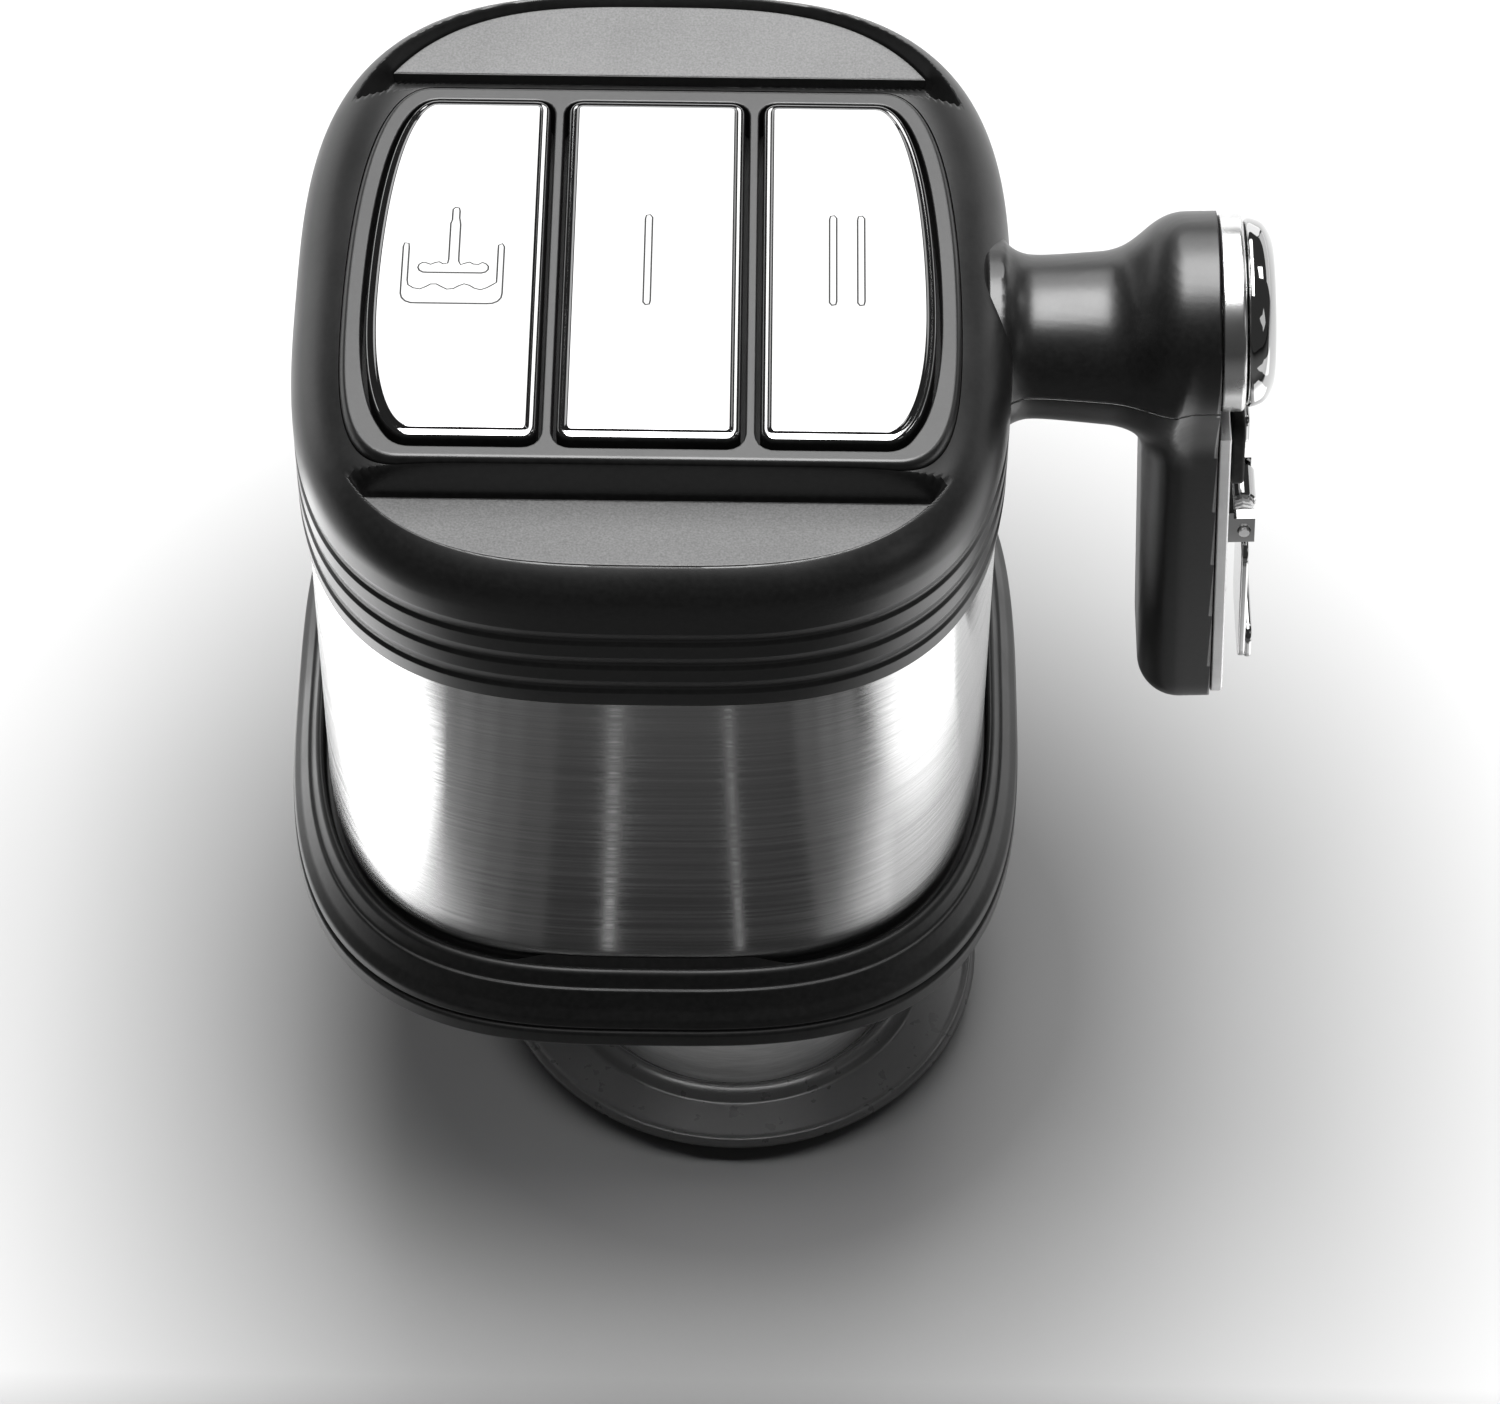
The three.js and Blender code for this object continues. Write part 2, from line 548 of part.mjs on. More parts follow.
const ARM_EDGE = 6;
function barSolid(inset, x0, x1) {
  const edge = Math.max(ARM_EDGE - inset, 1);
  const bar = extrudedAlongX(armShape(inset), x1 - x0, { bevelEnabled: true,
    bevelThickness: edge, bevelSize: edge, bevelOffset: -edge, bevelSegments: 2,
    curveSegments: 5 }).translate(x0 + edge, 0, 0);
  return common(bar, boxBetween([x0 - 1, -40, -ARM_LENGTH - 5], [x1, 40, 40]));
}

function neckSolid(inset, x0, x1) {
  const r = NECK_RADIUS - inset;
  return turnedAlongX([[0, x0], [r + 3.4, x0], [r + 2.6, CAP_HALF_WIDTH + 0.6],
    [r + 0.9, CAP_HALF_WIDTH + 2.2], [r, CAP_HALF_WIDTH + 5.5], [r + 0.4, 78], [r + 1.6, 86],
    [r + 2.8, x1], [0, x1]], 24).translate(0, 0, ARM_AXIS_Z);
}

function armBody() {
  const outside = join(
    barSolid(0, -ARM_THICKNESS, 0).applyMatrix4(intoHead),
    neckSolid(0, CAP_HALF_WIDTH - 4, ARM_FACE_X - ARM_THICKNESS + 4),
  );
  const head = squareTurned([[0, CAP_BOTTOM - 20], [CAP_HALF_WIDTH + GAP, CAP_BOTTOM - 20],
    ...capProfile(GAP)]);
  const hollowBar = barSolid(ARM_WALL, -ARM_THICKNESS + ARM_WALL, 2).applyMatrix4(intoHead);
  const hollowNeck = neckSolid(ARM_WALL + 1, CAP_HALF_WIDTH - 6, ARM_FACE_X - 8);
  return cut(outside, head, hollowBar, hollowNeck);
}

const armHalf = (body, z0, z1) => common(body, boxBetween([40, -40, z0], [130, 40, z1]));

const armCoreTube = () => turnedAlongX([[4.6, 48], [6.4, 48], [6.4, 93], [4.6, 93], [4.6, 48]], 20)
  .translate(0, 0, ARM_AXIS_Z);

const armNut = () => cut(turnedAlongX([[0, 53.5], [9.5, 53.5], [9.5, 58], [0, 58]], 6),
  turnedAlongX([[0, 50], [6.7, 50], [6.7, 60], [0, 60]], 20)).translate(0, 0, ARM_AXIS_Z);

function armFascia() {
  const plate = turnedAlongX([[4, GAP], [17.8, GAP], [17.8, DIAL_BASE - 1.8],
    [16.6, DIAL_BASE - GAP],
    [4, DIAL_BASE - GAP], [4, GAP]], 32);
  return plate;
}

const armDial = () => turnedAlongX([[0, DIAL_BASE], [DIAL_RADIUS - 1.6, DIAL_BASE],
  [DIAL_RADIUS, DIAL_BASE + 1.4], [DIAL_RADIUS, DIAL_BASE + 2.4],
  [DIAL_RADIUS - 2.2, DIAL_BASE + DIAL_HEIGHT - 0.9],
  [DIAL_RADIUS - 4.5, DIAL_BASE + DIAL_HEIGHT],
  [0, DIAL_BASE + DIAL_HEIGHT]], 32);

const dialShaft = () => turnedAlongX([[0, -7], [3, -7], [3, DIAL_BASE - GAP],
  [0, DIAL_BASE - GAP]], 16);

const dialEncoder = () => cut(boxBetween([-6.5, -7, -7], [-1.5, 7, 7]),
  turnedAlongX([[0, -9], [3.4, -9], [3.4, 2], [0, 2]], 16));

const BUTTON_Z = -27.5;
const BUTTON_HALF_WIDTH = 5;
const BUTTON_HALF_HEIGHT = 3.6;
const BUTTON_FACE = 6.4;
const SWITCH_Z = -77;

// The bar's outer plate, with windows for the button, the lever's spring and the switch plunger.
const PLATE_THICKNESS = 2.2;
function backPlate() {
  const plate = extrudedAlongX(armShape(0.8), PLATE_THICKNESS, { curveSegments: 6 })
    .translate(GAP, 0, 0);
  const lower = common(plate, boxBetween([-1, -30, -ARM_LENGTH], [6, 30, -18.6]));
  return cut(lower, buttonSpace(GAP),
    turnedAlongX([[0, -2], [2.2, -2], [2.2, 6], [0, 6]], 12).translate(0, 0, SWITCH_Z));
}

const buttonSpace = (clearance) =>
  boxBetween([-3, -BUTTON_HALF_WIDTH - clearance, BUTTON_Z - BUTTON_HALF_HEIGHT - clearance],
    [BUTTON_FACE, BUTTON_HALF_WIDTH + clearance, BUTTON_Z + BUTTON_HALF_HEIGHT + clearance]);

const lockButton = () => join(buttonSpace(0),
  boxBetween([-4, -BUTTON_HALF_WIDTH - 1.5, BUTTON_Z - BUTTON_HALF_HEIGHT - 1.5],
    [-2.2, BUTTON_HALF_WIDTH + 1.5, BUTTON_Z + BUTTON_HALF_HEIGHT + 1.5]));

const gripPad = () => cut(extrudedAlongX(roundedRectangle(-11.5, -36, 11.5, -19, 3), 2.4,
  { curveSegments: 4 }).translate(PLATE_THICKNESS + 2 * GAP, 0, 0), buttonSpace(GAP));

const LUG_X = PLATE_THICKNESS + 2 * GAP;
function leverBracket() {
  const ears = [-8.6, 6.4].map((y) =>
    boxBetween([LUG_X, y, LEVER_PIVOT_Z - 3.4], [LUG_X + 5, y + 2.2, LEVER_PIVOT_Z + 3.4]));
  const foot = boxBetween([LUG_X, -8.6, LEVER_PIVOT_Z + 2.2], [LUG_X + 1, 8.6, LEVER_PIVOT_Z + 5]);
  return cut(join(foot, ...ears), leverPin(1.3, 12));
}

// Turns a piece made about Z onto the lever's pivot, with its +Z end at the -Y side.
const alongPivot = (geometry) =>
  geometry.rotateX(Math.PI / 2).translate(LUG_X + 3, 0, LEVER_PIVOT_Z);
const leverPin = (radius, half) => alongPivot(rod(radius, -half, half));

function triggerLever() {
  const face = extrudedAlongX(roundedRectangle(-9.5, LEVER_END_Z, 9.5, LEVER_PIVOT_Z - 5, 4),
    1.4, { curveSegments: 4 }).translate(LEVER_FACE + GAP, 0, 0);
  const knuckle = alongPivot(rod(2.6, -5.8, 1.8, 16));
  const web = boxBetween([LUG_X + 2.2, -1.8, LEVER_PIVOT_Z - 8],
    [LEVER_FACE + GAP + 1.4, 5.8, LEVER_PIVOT_Z]);
  const step = extrudedAlongX(roundedRectangle(-9.5, LEVER_END_Z, 9.5, LEVER_END_Z + 9, 3),
    1.5, { curveSegments: 4 }).translate(LEVER_FACE + GAP + 1.2, 0, 0);
  return cut(join(face, knuckle, web, step), leverPin(1.3, 12));
}

// A torsion spring wound round the pin between the knuckle and one ear.
const leverSpring = () => alongPivot(tubeAlong(coilPoints(1.9, 2.5, 5.7, 4), 0.3, 32, 4));

const leverSwitch = () => join(boxBetween([-9, -6, SWITCH_Z - 6], [-1.2, 6, SWITCH_Z + 6]),
  turnedAlongX([[0, -2], [1.7, -2], [1.7, LUG_X + 0.6], [0, LUG_X + 0.6]], 12)
    .translate(0, 0, SWITCH_Z));

// ---- assembly ----
const SIDES = [{ name: "left", side: -1 }, { name: "middle", side: 0 }, { name: "right", side: 1 }];

const lower = group(0, 0, 0,
  piece("foot_ring", footRing(), GLOSS_BLACK),
  piece("foot_plate", footPlate(), RUBBER),
  piece("immersion_sleeve", immersionSleeve(), STEEL),
  piece("heater_coil", heaterCoil(), STEEL),
  piece("seal_plate", sealPlate(), RUBBER),
  ...PROBES.map((item) => piece(item.name, probe(item), STEEL, ...probeAt(item))),
  piece("impeller", bladed(7, 22, SHAFT_BOTTOM + 2, 30, 6, 1.6, 0.5), GLOSS_BLACK),
  piece("drive_shaft", rod(SHAFT_RADIUS, SHAFT_BOTTOM, SHAFT_TOP), STEEL),
  piece("cooling_fan", bladed(8, 26, 168, 176, 7, 1.2, 0.6), BLACK),
  piece("motor_mount", motorMount(), BLACK),
  piece("motor_can", motorCan(), BRUSHED),
  piece("lower_bearing", ring(SHAFT_RADIUS + GAP, 6.2, 96, 99, 20), STEEL),
  piece("upper_bearing", ring(SHAFT_RADIUS + GAP, 8, MOTOR_TOP + GAP, 164, 20), STEEL),
);

const head = group(-HEAD_OFFSET, 0, 0,
  piece("base_flange", baseFlange(), BLACK),
  piece("base_floor", baseFloor(), BLACK),
  piece("cord_gland", cordGland(), RUBBER, 0, GLAND_Y),
  piece("sleeve_collar", sleeveCollar(), BLACK, HEAD_OFFSET),
  piece("steel_band", steelBand(), BRUSHED),
  piece("cap_gasket", capGasket(), RUBBER),
  piece("top_cap", topCap(), BLACK),
  piece("pocket_inlay_rear", inlay(1), GREY_INLAY),
  piece("pocket_inlay_front", inlay(-1), GREY_INLAY),
  piece("key_panel", keyPanel(), BLACK),
  piece("key_board", keyBoard(), BOARD_GREEN),
  piece("switch_tray", switchTray(), BLACK),
  ...SIDES.map(({ name, side }) => piece("key_" + name, key(side), CHROME)),
  ...SIDES.map(({ name, side }) =>
    piece("key_spring_" + name, keySpring(), STEEL, keyStemX(side), KEY_CENTRE_Y)),
  ...SIDES.map(({ name, side }) =>
    piece("key_switch_" + name, keySwitch(), RUBBER, keyStemX(side), KEY_CENTRE_Y)),
  ...RODS.map(([x, y], i) => piece("tie_rod_" + (i + 1), tieRod(), STEEL, x, y)),
  piece("power_board", boxBetween([-38, 50, 108], [38, 51.6, 168]), BOARD_GREEN),
  piece("power_transformer", boxBetween([-34, 30, 112], [-8, 49.7, 138]), COPPER_BROWN),
  piece("power_capacitor", rod(7, 0, 18).rotateX(Math.PI / 2), WHITE_PLASTIC, 26, 49.7, 150),
  piece("power_relay", boxBetween([4, 38, 112], [24, 49.7, 126]), BRASS),
);

const shells = armBody();
const arm = group(-HEAD_OFFSET, 0, 0,
  piece("arm_upper_shell", armHalf(shells, ARM_PARTING_Z + GAP / 2, 260), BLACK),
  piece("arm_lower_shell", armHalf(shells, 60, ARM_PARTING_Z - GAP / 2), BLACK),
  piece("arm_core_tube", armCoreTube(), STEEL),
  piece("arm_nut", armNut(), BRASS),
);

const armFace = group(ARM_FACE_X - HEAD_OFFSET, 0, HUB_Z,
  piece("arm_fascia", armFascia(), CHROME),
  piece("arm_dial", armDial(), CHROME),
  piece("dial_shaft", dialShaft(), STEEL),
  piece("dial_encoder", dialEncoder(), RUBBER),
  piece("back_plate", backPlate(), BRUSHED),
  piece("lock_button", lockButton(), CHROME),
  piece("grip_pad", gripPad(), RUBBER),
  piece("lever_bracket", leverBracket(), CHROME),
  piece("lever_pin", leverPin(1, 9.4), STEEL),
  piece("trigger_lever", triggerLever(), CHROME),
  piece("lever_spring", leverSpring(), STEEL),
  piece("lever_switch", leverSwitch(), RUBBER),
);
armFace.rotation.y = -ARM_LEAN;

const circulator = new THREE.Group();
circulator.add(lower, head, arm, armFace);
export default circulator;
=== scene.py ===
import json
import math

import bmesh
import bpy
import numpy as np
from mathutils import Matrix, Vector


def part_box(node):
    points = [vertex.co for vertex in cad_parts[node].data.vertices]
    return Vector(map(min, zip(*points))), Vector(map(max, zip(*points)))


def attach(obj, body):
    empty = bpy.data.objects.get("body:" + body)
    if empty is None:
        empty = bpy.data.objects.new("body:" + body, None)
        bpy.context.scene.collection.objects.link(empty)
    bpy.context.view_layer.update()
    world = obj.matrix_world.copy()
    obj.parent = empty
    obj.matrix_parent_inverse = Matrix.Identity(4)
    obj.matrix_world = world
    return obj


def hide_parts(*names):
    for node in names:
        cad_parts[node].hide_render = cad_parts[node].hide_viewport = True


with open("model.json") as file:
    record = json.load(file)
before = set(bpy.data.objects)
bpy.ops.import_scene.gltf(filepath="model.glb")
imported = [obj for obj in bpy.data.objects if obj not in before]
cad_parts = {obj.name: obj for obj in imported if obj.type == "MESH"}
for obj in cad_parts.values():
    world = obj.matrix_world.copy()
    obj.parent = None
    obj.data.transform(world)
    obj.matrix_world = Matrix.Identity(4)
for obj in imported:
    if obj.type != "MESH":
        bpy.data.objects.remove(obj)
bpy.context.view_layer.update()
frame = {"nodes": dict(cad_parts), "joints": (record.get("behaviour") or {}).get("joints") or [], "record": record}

# Looks for an immersion circulator. Lengths are millimetres until make() turns a piece into metres.
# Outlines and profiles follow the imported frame: every place comes from a CAD node's box or a joint.
MM = 0.001
GAP = 0.3  # clearance between touching CAD pieces


# ---- sizes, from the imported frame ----
def span(node):
    """Lowest and highest corner of a CAD node, in millimetres."""
    low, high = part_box(node)
    return np.array(low) / MM, np.array(high) / MM


def middle_and_half(node, axis):
    low, high = span(node)
    return (low[axis] + high[axis]) / 2, (high[axis] - low[axis]) / 2


def joint(name):
    return next(j for j in frame["joints"] if j["name"] == name)


SQUARENESS = 3.1  # exponent of the head's rounded-square plan
HEAD_X, CAP_W = middle_and_half("top_cap", 0)
DEPTH = middle_and_half("top_cap", 1)[1] / CAP_W
CAP_BOTTOM, CAP_TOP = span("top_cap")[0][2], span("top_cap")[1][2]
BAND_W = middle_and_half("steel_band", 0)[1]
BAND_BOTTOM, BAND_TOP = span("steel_band")[0][2], span("steel_band")[1][2]
FLANGE_W = middle_and_half("base_flange", 0)[1]
FLANGE_BOTTOM, FLANGE_LIP = span("base_flange")[0][2], span("base_flange")[1][2]
INLAY_LOW, INLAY_HIGH = span("pocket_inlay_front")
INLAY_BOTTOM, INLAY_THICKNESS = INLAY_LOW[2], 1.0
INLAY_TOP = INLAY_BOTTOM + INLAY_THICKNESS
INLAY_SLOPE = (INLAY_HIGH[2] - INLAY_LOW[2] - INLAY_THICKNESS) / (INLAY_HIGH[1] - INLAY_LOW[1])
POCKET_FLOOR = INLAY_BOTTOM - GAP
POCKET_EDGE_Y = -INLAY_HIGH[1] - GAP  # the pockets' straight walls stand at +-y
POCKET_W = CAP_W - 4.6  # the pockets' curved walls
PANEL_FRONT, PANEL_BACK = span("key_panel")[0][1], span("key_panel")[1][1]
PANEL_HALF = middle_and_half("key_panel", 0)[1]
PANEL_BOTTOM = span("key_panel")[0][2]
PANEL_MARGIN = 3.2  # from the panel's edge to the keys
PANEL_OVERHANG = 1.2  # how far the shown panel reaches past the CAD one
PANEL_TOP = CAP_TOP + 0.1
KEY_RIM = 1.1  # the CAD keys' hidden flange
KEY_CLEARANCE = 0.85  # round each key, in its window
FRONT_CLEARANCE = 0.5  # and this much more in front
KEY_HALF = middle_and_half("key_middle", 0)[1] - KEY_RIM
KEY_TOP = span("key_middle")[1][2]
KEY_BOTTOM = PANEL_BOTTOM - 2.3  # the underside of a key's hidden flange
KEY_INNER = span("key_right")[0][0] - HEAD_X + KEY_RIM
KEY_OUTER = PANEL_HALF - PANEL_MARGIN
SLEEVE_RADIUS = middle_and_half("immersion_sleeve", 1)[1]
FOOT_RADIUS = middle_and_half("foot_ring", 1)[1]
FOOT_TOP = span("foot_ring")[1][2]

# The arm's outer face leans: its frame has X outwards, Y across and Z up along the hanging bar.
turn = joint("dial_turn")
ARM_X = Vector(turn["axis"]).normalized()
ARM_Z = ARM_X.cross(Vector((0, 1, 0)))
DIAL_PIVOT = 4  # the joint's place, outwards from the arm's face
HUB = Vector(turn["pos_m"]) / MM - ARM_X * DIAL_PIVOT
HUB_RADIUS = 18.6
BAR_HALF = 14.5
ARM_LENGTH = 99
ARM_THICKNESS = 13.6
NECK_RADIUS = 15.6
PARTING_Z = span("arm_upper_shell")[0][2] - GAP / 2


# ---- outlines and profiles ----
def straight(a, b, steps=12):
    t = np.linspace(0, 1, steps, endpoint=False)[:, None]
    return (1 - t) * np.array(a, float) + t * np.array(b, float)


def bezier(a, b, c, d, steps=24):
    t = np.linspace(0, 1, steps, endpoint=False)[:, None]
    a, b, c, d = (np.array(p, float) for p in (a, b, c, d))
    return (1 - t) ** 3 * a + 3 * (1 - t) ** 2 * t * b + 3 * (1 - t) * t**2 * c + t**3 * d


def arc(x, y, radius, start, end, steps=12):
    angles = np.radians(np.linspace(start, end, steps))
    return np.stack([x + radius * np.cos(angles), y + radius * np.sin(angles)], 1)


def softened(points, radius, steps=4, closed=True):
    """The same line with each corner rounded."""
    points = [np.array(p, float) for p in points]
    made = []
    for i, p in enumerate(points):
        if not closed and i in (0, len(points) - 1):
            made.append(p)
            continue
        before, after = points[i - 1], points[(i + 1) % len(points)]
        start, end = (p + (q - p) * min(radius / np.linalg.norm(q - p), 0.48) for q in (before, after))
        for t in np.linspace(0, 1, steps + 1):
            made.append((1 - t) ** 2 * start + 2 * (1 - t) * t * p + t * t * end)
    return np.array(made)


def resampled(points, count):
    """A closed outline at even steps."""
    ring = np.vstack([points, points[:1]])
    run = np.concatenate([[0], np.cumsum(np.linalg.norm(np.diff(ring, axis=0), axis=1))])
    at = np.linspace(0, run[-1], count, endpoint=False)
    return np.stack([np.interp(at, run, ring[:, k]) for k in range(2)], 1)


def outward(points):
    along = np.roll(points, -1, 0) - np.roll(points, 1, 0)
    normal = np.stack([along[:, 1], -along[:, 0]], 1)
    return normal / np.linalg.norm(normal, axis=1)[:, None]


def inset(points, distance):
    return points - outward(points) * distance


def rounded_box(x0, y0, x1, y1, radius):
    corners = [(x1 - radius, y0 + radius, -90), (x1 - radius, y1 - radius, 0),
               (x0 + radius, y1 - radius, 90), (x0 + radius, y0 + radius, 180)]
    return np.vstack([arc(x, y, radius, a, a + 90, 9) for x, y, a in corners])


def panel_outline():
    """Plan of the key panel: straight front and back, sides that bulge out."""
    back_x, front_x = 38 + PANEL_MARGIN, 40 + PANEL_MARGIN
    front, back, side = PANEL_FRONT, PANEL_BACK, PANEL_HALF
    half = [
        straight((0, front), (front_x, front)),
        bezier((front_x, front), (side - 1, front), (side, front + 14), (side, -14)),
        bezier((side, -14), (side, 4), (side - 1.5, back), (back_x, back)),
        straight((back_x, back), (0, back)),
    ]
    right = np.vstack(half)
    left = np.vstack([[[0, back]], right[:0:-1] * (-1, 1)])
    return np.vstack([right, left])


def key_outline(side):
    """Plan of a key: -1 left, 0 middle, 1 right."""
    front, back = PANEL_FRONT + PANEL_MARGIN, PANEL_BACK - PANEL_MARGIN
    corner = 2.5
    if side == 0:
        return rounded_box(-KEY_HALF, front, KEY_HALF, back, corner)
    inner, outer = KEY_INNER, KEY_OUTER
    right = np.vstack([
        arc(inner + corner, front + corner, corner, 180, 270, 8),
        straight((inner + corner, front), (outer - 9, front), 10)[1:],
        bezier((outer - 9, front), (outer - 3, front), (outer, front + 13), (outer, -14)),
        bezier((outer, -14), (outer, 2), (outer - 1.5, back), (outer - 10.5, back)),
        straight((outer - 10.5, back), (inner + corner, back), 10),
        arc(inner + corner, back - corner, corner, 90, 180, 8),
        straight((inner, back - corner), (inner, front + corner), 20)[1:],
    ])
    return right if side > 0 else right[::-1] * (-1, 1)


def plan_angles(count):
    return np.linspace(0, 2 * math.pi, count, endpoint=False)


def square_loop(width, z, count):
    """One level of the head's rounded-square plan; width may differ round the loop."""
    angle = plan_angles(count)
    c, s = np.cos(angle), np.sin(angle)
    reach = (np.abs(c) ** SQUARENESS + np.abs(s) ** SQUARENESS) ** (-1 / SQUARENESS)
    height = np.zeros(count) + z
    return np.stack([HEAD_X + width * reach * c, width * reach * s * DEPTH, height], 1)


def half_width(x, y):
    """The half width of the rounded-square level that passes through a point of the head's plan."""
    return (np.abs(x) ** SQUARENESS + np.abs(y / DEPTH) ** SQUARENESS) ** (1 / SQUARENESS)


def round_loop(radius, z, count=128, x=0.0, y=0.0):
    angle = plan_angles(count)
    return np.stack([x + radius * np.cos(angle), y + radius * np.sin(angle), np.zeros(count) + z], 1)


def level(outline, z, x=0.0):
    return np.column_stack([outline[:, 0] + x, outline[:, 1], np.zeros(len(outline)) + z])


def smooth(t):
    t = np.clip(t, 0, 1)
    return t * t * (3 - 2 * t)


# ---- meshes ----
def lofted(loops, wrap=False, first=False, last=False):
    """Quads between loops of equal length. wrap joins the last loop to the first loop.

    first and last close that end with one face.
    """
    rows, count = len(loops), len(loops[0])
    faces = []
    for i in range(rows if wrap else rows - 1):
        a, b = i * count, (i + 1) % rows * count
        faces += [(a + j, a + (j + 1) % count, b + (j + 1) % count, b + j) for j in range(count)]
    if first:
        faces.append(tuple(range(count))[::-1])
    if last:
        faces.append(tuple(range((rows - 1) * count, rows * count)))
    return np.vstack(loops), faces


def in_arm(points):
    """Points of the arm's leaning frame, placed on the object."""
    axes = np.array([ARM_X, (0, 1, 0), ARM_Z])
    return np.asarray(points) @ axes + np.array(HUB)


def turned(profile, count=128, x=0.0, y=0.0, wrap=True):
    return lofted([round_loop(r, z, count, x, y) for r, z in profile], wrap=wrap)


def turned_on_arm(profile, count, wrap=False):
    """A solid of revolution about the arm's X; each profile point is [radius, place along X]."""
    loops = []
    for radius, x in profile:
        ring = round_loop(radius, 0, count)
        loops.append(in_arm(np.column_stack([np.zeros(count) + x, ring[:, 0], ring[:, 1]])))
    return lofted(loops, wrap=wrap)


def edged(outline, low, high, edge, place, steps=4):
    """A plate with rounded edges, from its outline; place(outline, height) lifts a loop into space."""
    quarter = np.radians(np.linspace(0, 90, steps + 1))
    rise = [(edge * (1 - math.cos(a)), edge * (1 - math.sin(a))) for a in quarter]
    loops = [place(inset(outline, edge + 0.25), low)]
    loops += [place(inset(outline, out), low + up) for up, out in rise]
    loops += [place(inset(outline, out), high - up) for up, out in rise[::-1]]
    loops.append(place(inset(outline, edge + 0.25), high))
    return lofted(loops, first=True, last=True)


def arm_plate(outline, low, high, edge):
    """A plate that lies on the arm's outer face; low and high are heights above that face."""
    def place(points, x):
        return in_arm(np.column_stack([np.zeros(len(points)) + x, points]))
    return edged(outline, low, high, edge, place)


def make(name, parts, finish, body, replaces=(), sharp=38, fills=()):
    """A piece from (vertices, faces) parts; fills are groups of loops round one flat face with holes."""
    bm = bmesh.new()
    for vertices, faces in parts:
        made = [bm.verts.new(Vector(v) * MM) for v in vertices]
        for face in faces:
            bm.faces.new([made[i] for i in face])
    bmesh.ops.remove_doubles(bm, verts=bm.verts, dist=1e-7)
    for loops in fills:
        edges = []
        for loop in loops:
            made = [bm.verts.new(Vector(v) * MM) for v in loop]
            edges += [bm.edges.new((made[i - 1], made[i])) for i in range(len(made))]
        bmesh.ops.triangle_fill(bm, edges=edges, use_beauty=True)
    bmesh.ops.remove_doubles(bm, verts=bm.verts, dist=1e-7)
    bmesh.ops.recalc_face_normals(bm, faces=bm.faces)
    for face in bm.faces:
        face.smooth = True
    for edge in bm.edges:
        edge.smooth = len(edge.link_faces) == 2 and edge.calc_face_angle(0) < math.radians(sharp)
    mesh = bpy.data.meshes.new(name)
    bm.to_mesh(mesh)
    bm.free()
    mesh.materials.append(finish)
    piece = bpy.data.objects.new(name, mesh)
    bpy.context.scene.collection.objects.link(piece)
    weighted = piece.modifiers.new("normals", "WEIGHTED_NORMAL")
    weighted.keep_sharp = True
    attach(piece, body)
    if replaces:
        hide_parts(*replaces)
    return piece


def second_finish(piece, finish, is_chosen):
    """Gives a second finish to the faces that is_chosen picks."""
    piece.data.materials.append(finish)
    for face in piece.data.polygons:
        if is_chosen(face):
            face.material_index = 1


# ---- materials ----
class Finish:
    """A Principled material with small helpers for its procedural detail, in object coordinates."""

    def __init__(self, name, colour, roughness, metallic=0.0, specular=0.5):
        self.material = bpy.data.materials.new(name)
        self.material.use_nodes = True
        self.tree = self.material.node_tree
        self.shader = self.tree.nodes["Principled BSDF"]
        self.shader.inputs["Base Color"].default_value = (*self.grey(colour), 1)
        self.shader.inputs["Roughness"].default_value = roughness
        self.shader.inputs["Metallic"].default_value = metallic
        self.shader.inputs["Specular IOR Level"].default_value = specular
        self.place = self.node("ShaderNodeTexCoord").outputs["Object"]

    @staticmethod
    def grey(colour):
        return (colour,) * 3 if isinstance(colour, (int, float)) else tuple(colour)

    def node(self, kind, **inputs):
        made = self.tree.nodes.new(kind)
        for key, value in inputs.items():
            made.inputs[key.replace("_", " ")].default_value = value
        return made

    def link(self, source, target):
        self.tree.links.new(source, target)

    def noise(self, scale, detail=2.0, stretch=(1, 1, 1)):
        mapping = self.node("ShaderNodeMapping", Scale=stretch)
        self.link(self.place, mapping.inputs["Vector"])
        made = self.node("ShaderNodeTexNoise", Scale=scale, Detail=detail)
        self.link(mapping.outputs["Vector"], made.inputs["Vector"])
        return made.outputs["Fac"]

    def ranged(self, value, low, high, start=0.3, end=0.7):
        made = self.node("ShaderNodeMapRange", From_Min=start, From_Max=end, To_Min=low, To_Max=high)
        self.link(value, made.inputs["Value"])
        return made.outputs["Result"]

    def tint(self, value, dark, light, start=0.3, end=0.7):
        mix = self.tree.nodes.new("ShaderNodeMix")
        mix.data_type = "RGBA"
        for socket in mix.inputs:
            if socket.name in ("A", "B") and socket.type == "RGBA":
                socket.default_value = (*self.grey(dark if socket.name == "A" else light), 1)
        factor = next(s for s in mix.inputs if s.name == "Factor" and s.type == "VALUE")
        self.link(self.ranged(value, 0, 1, start, end), factor)
        self.link(next(s for s in mix.outputs if s.type == "RGBA"), self.shader.inputs["Base Color"])

    def rough(self, value, low, high):
        self.link(self.ranged(value, low, high), self.shader.inputs["Roughness"])

    def bump(self, value, depth, strength=1.0):
        made = self.node("ShaderNodeBump", Strength=strength, Distance=depth)
        self.link(value, made.inputs["Height"])
        if self.shader.inputs["Normal"].links:
            self.link(self.shader.inputs["Normal"].links[0].from_socket, made.inputs["Normal"])
        self.link(made.outputs["Normal"], self.shader.inputs["Normal"])


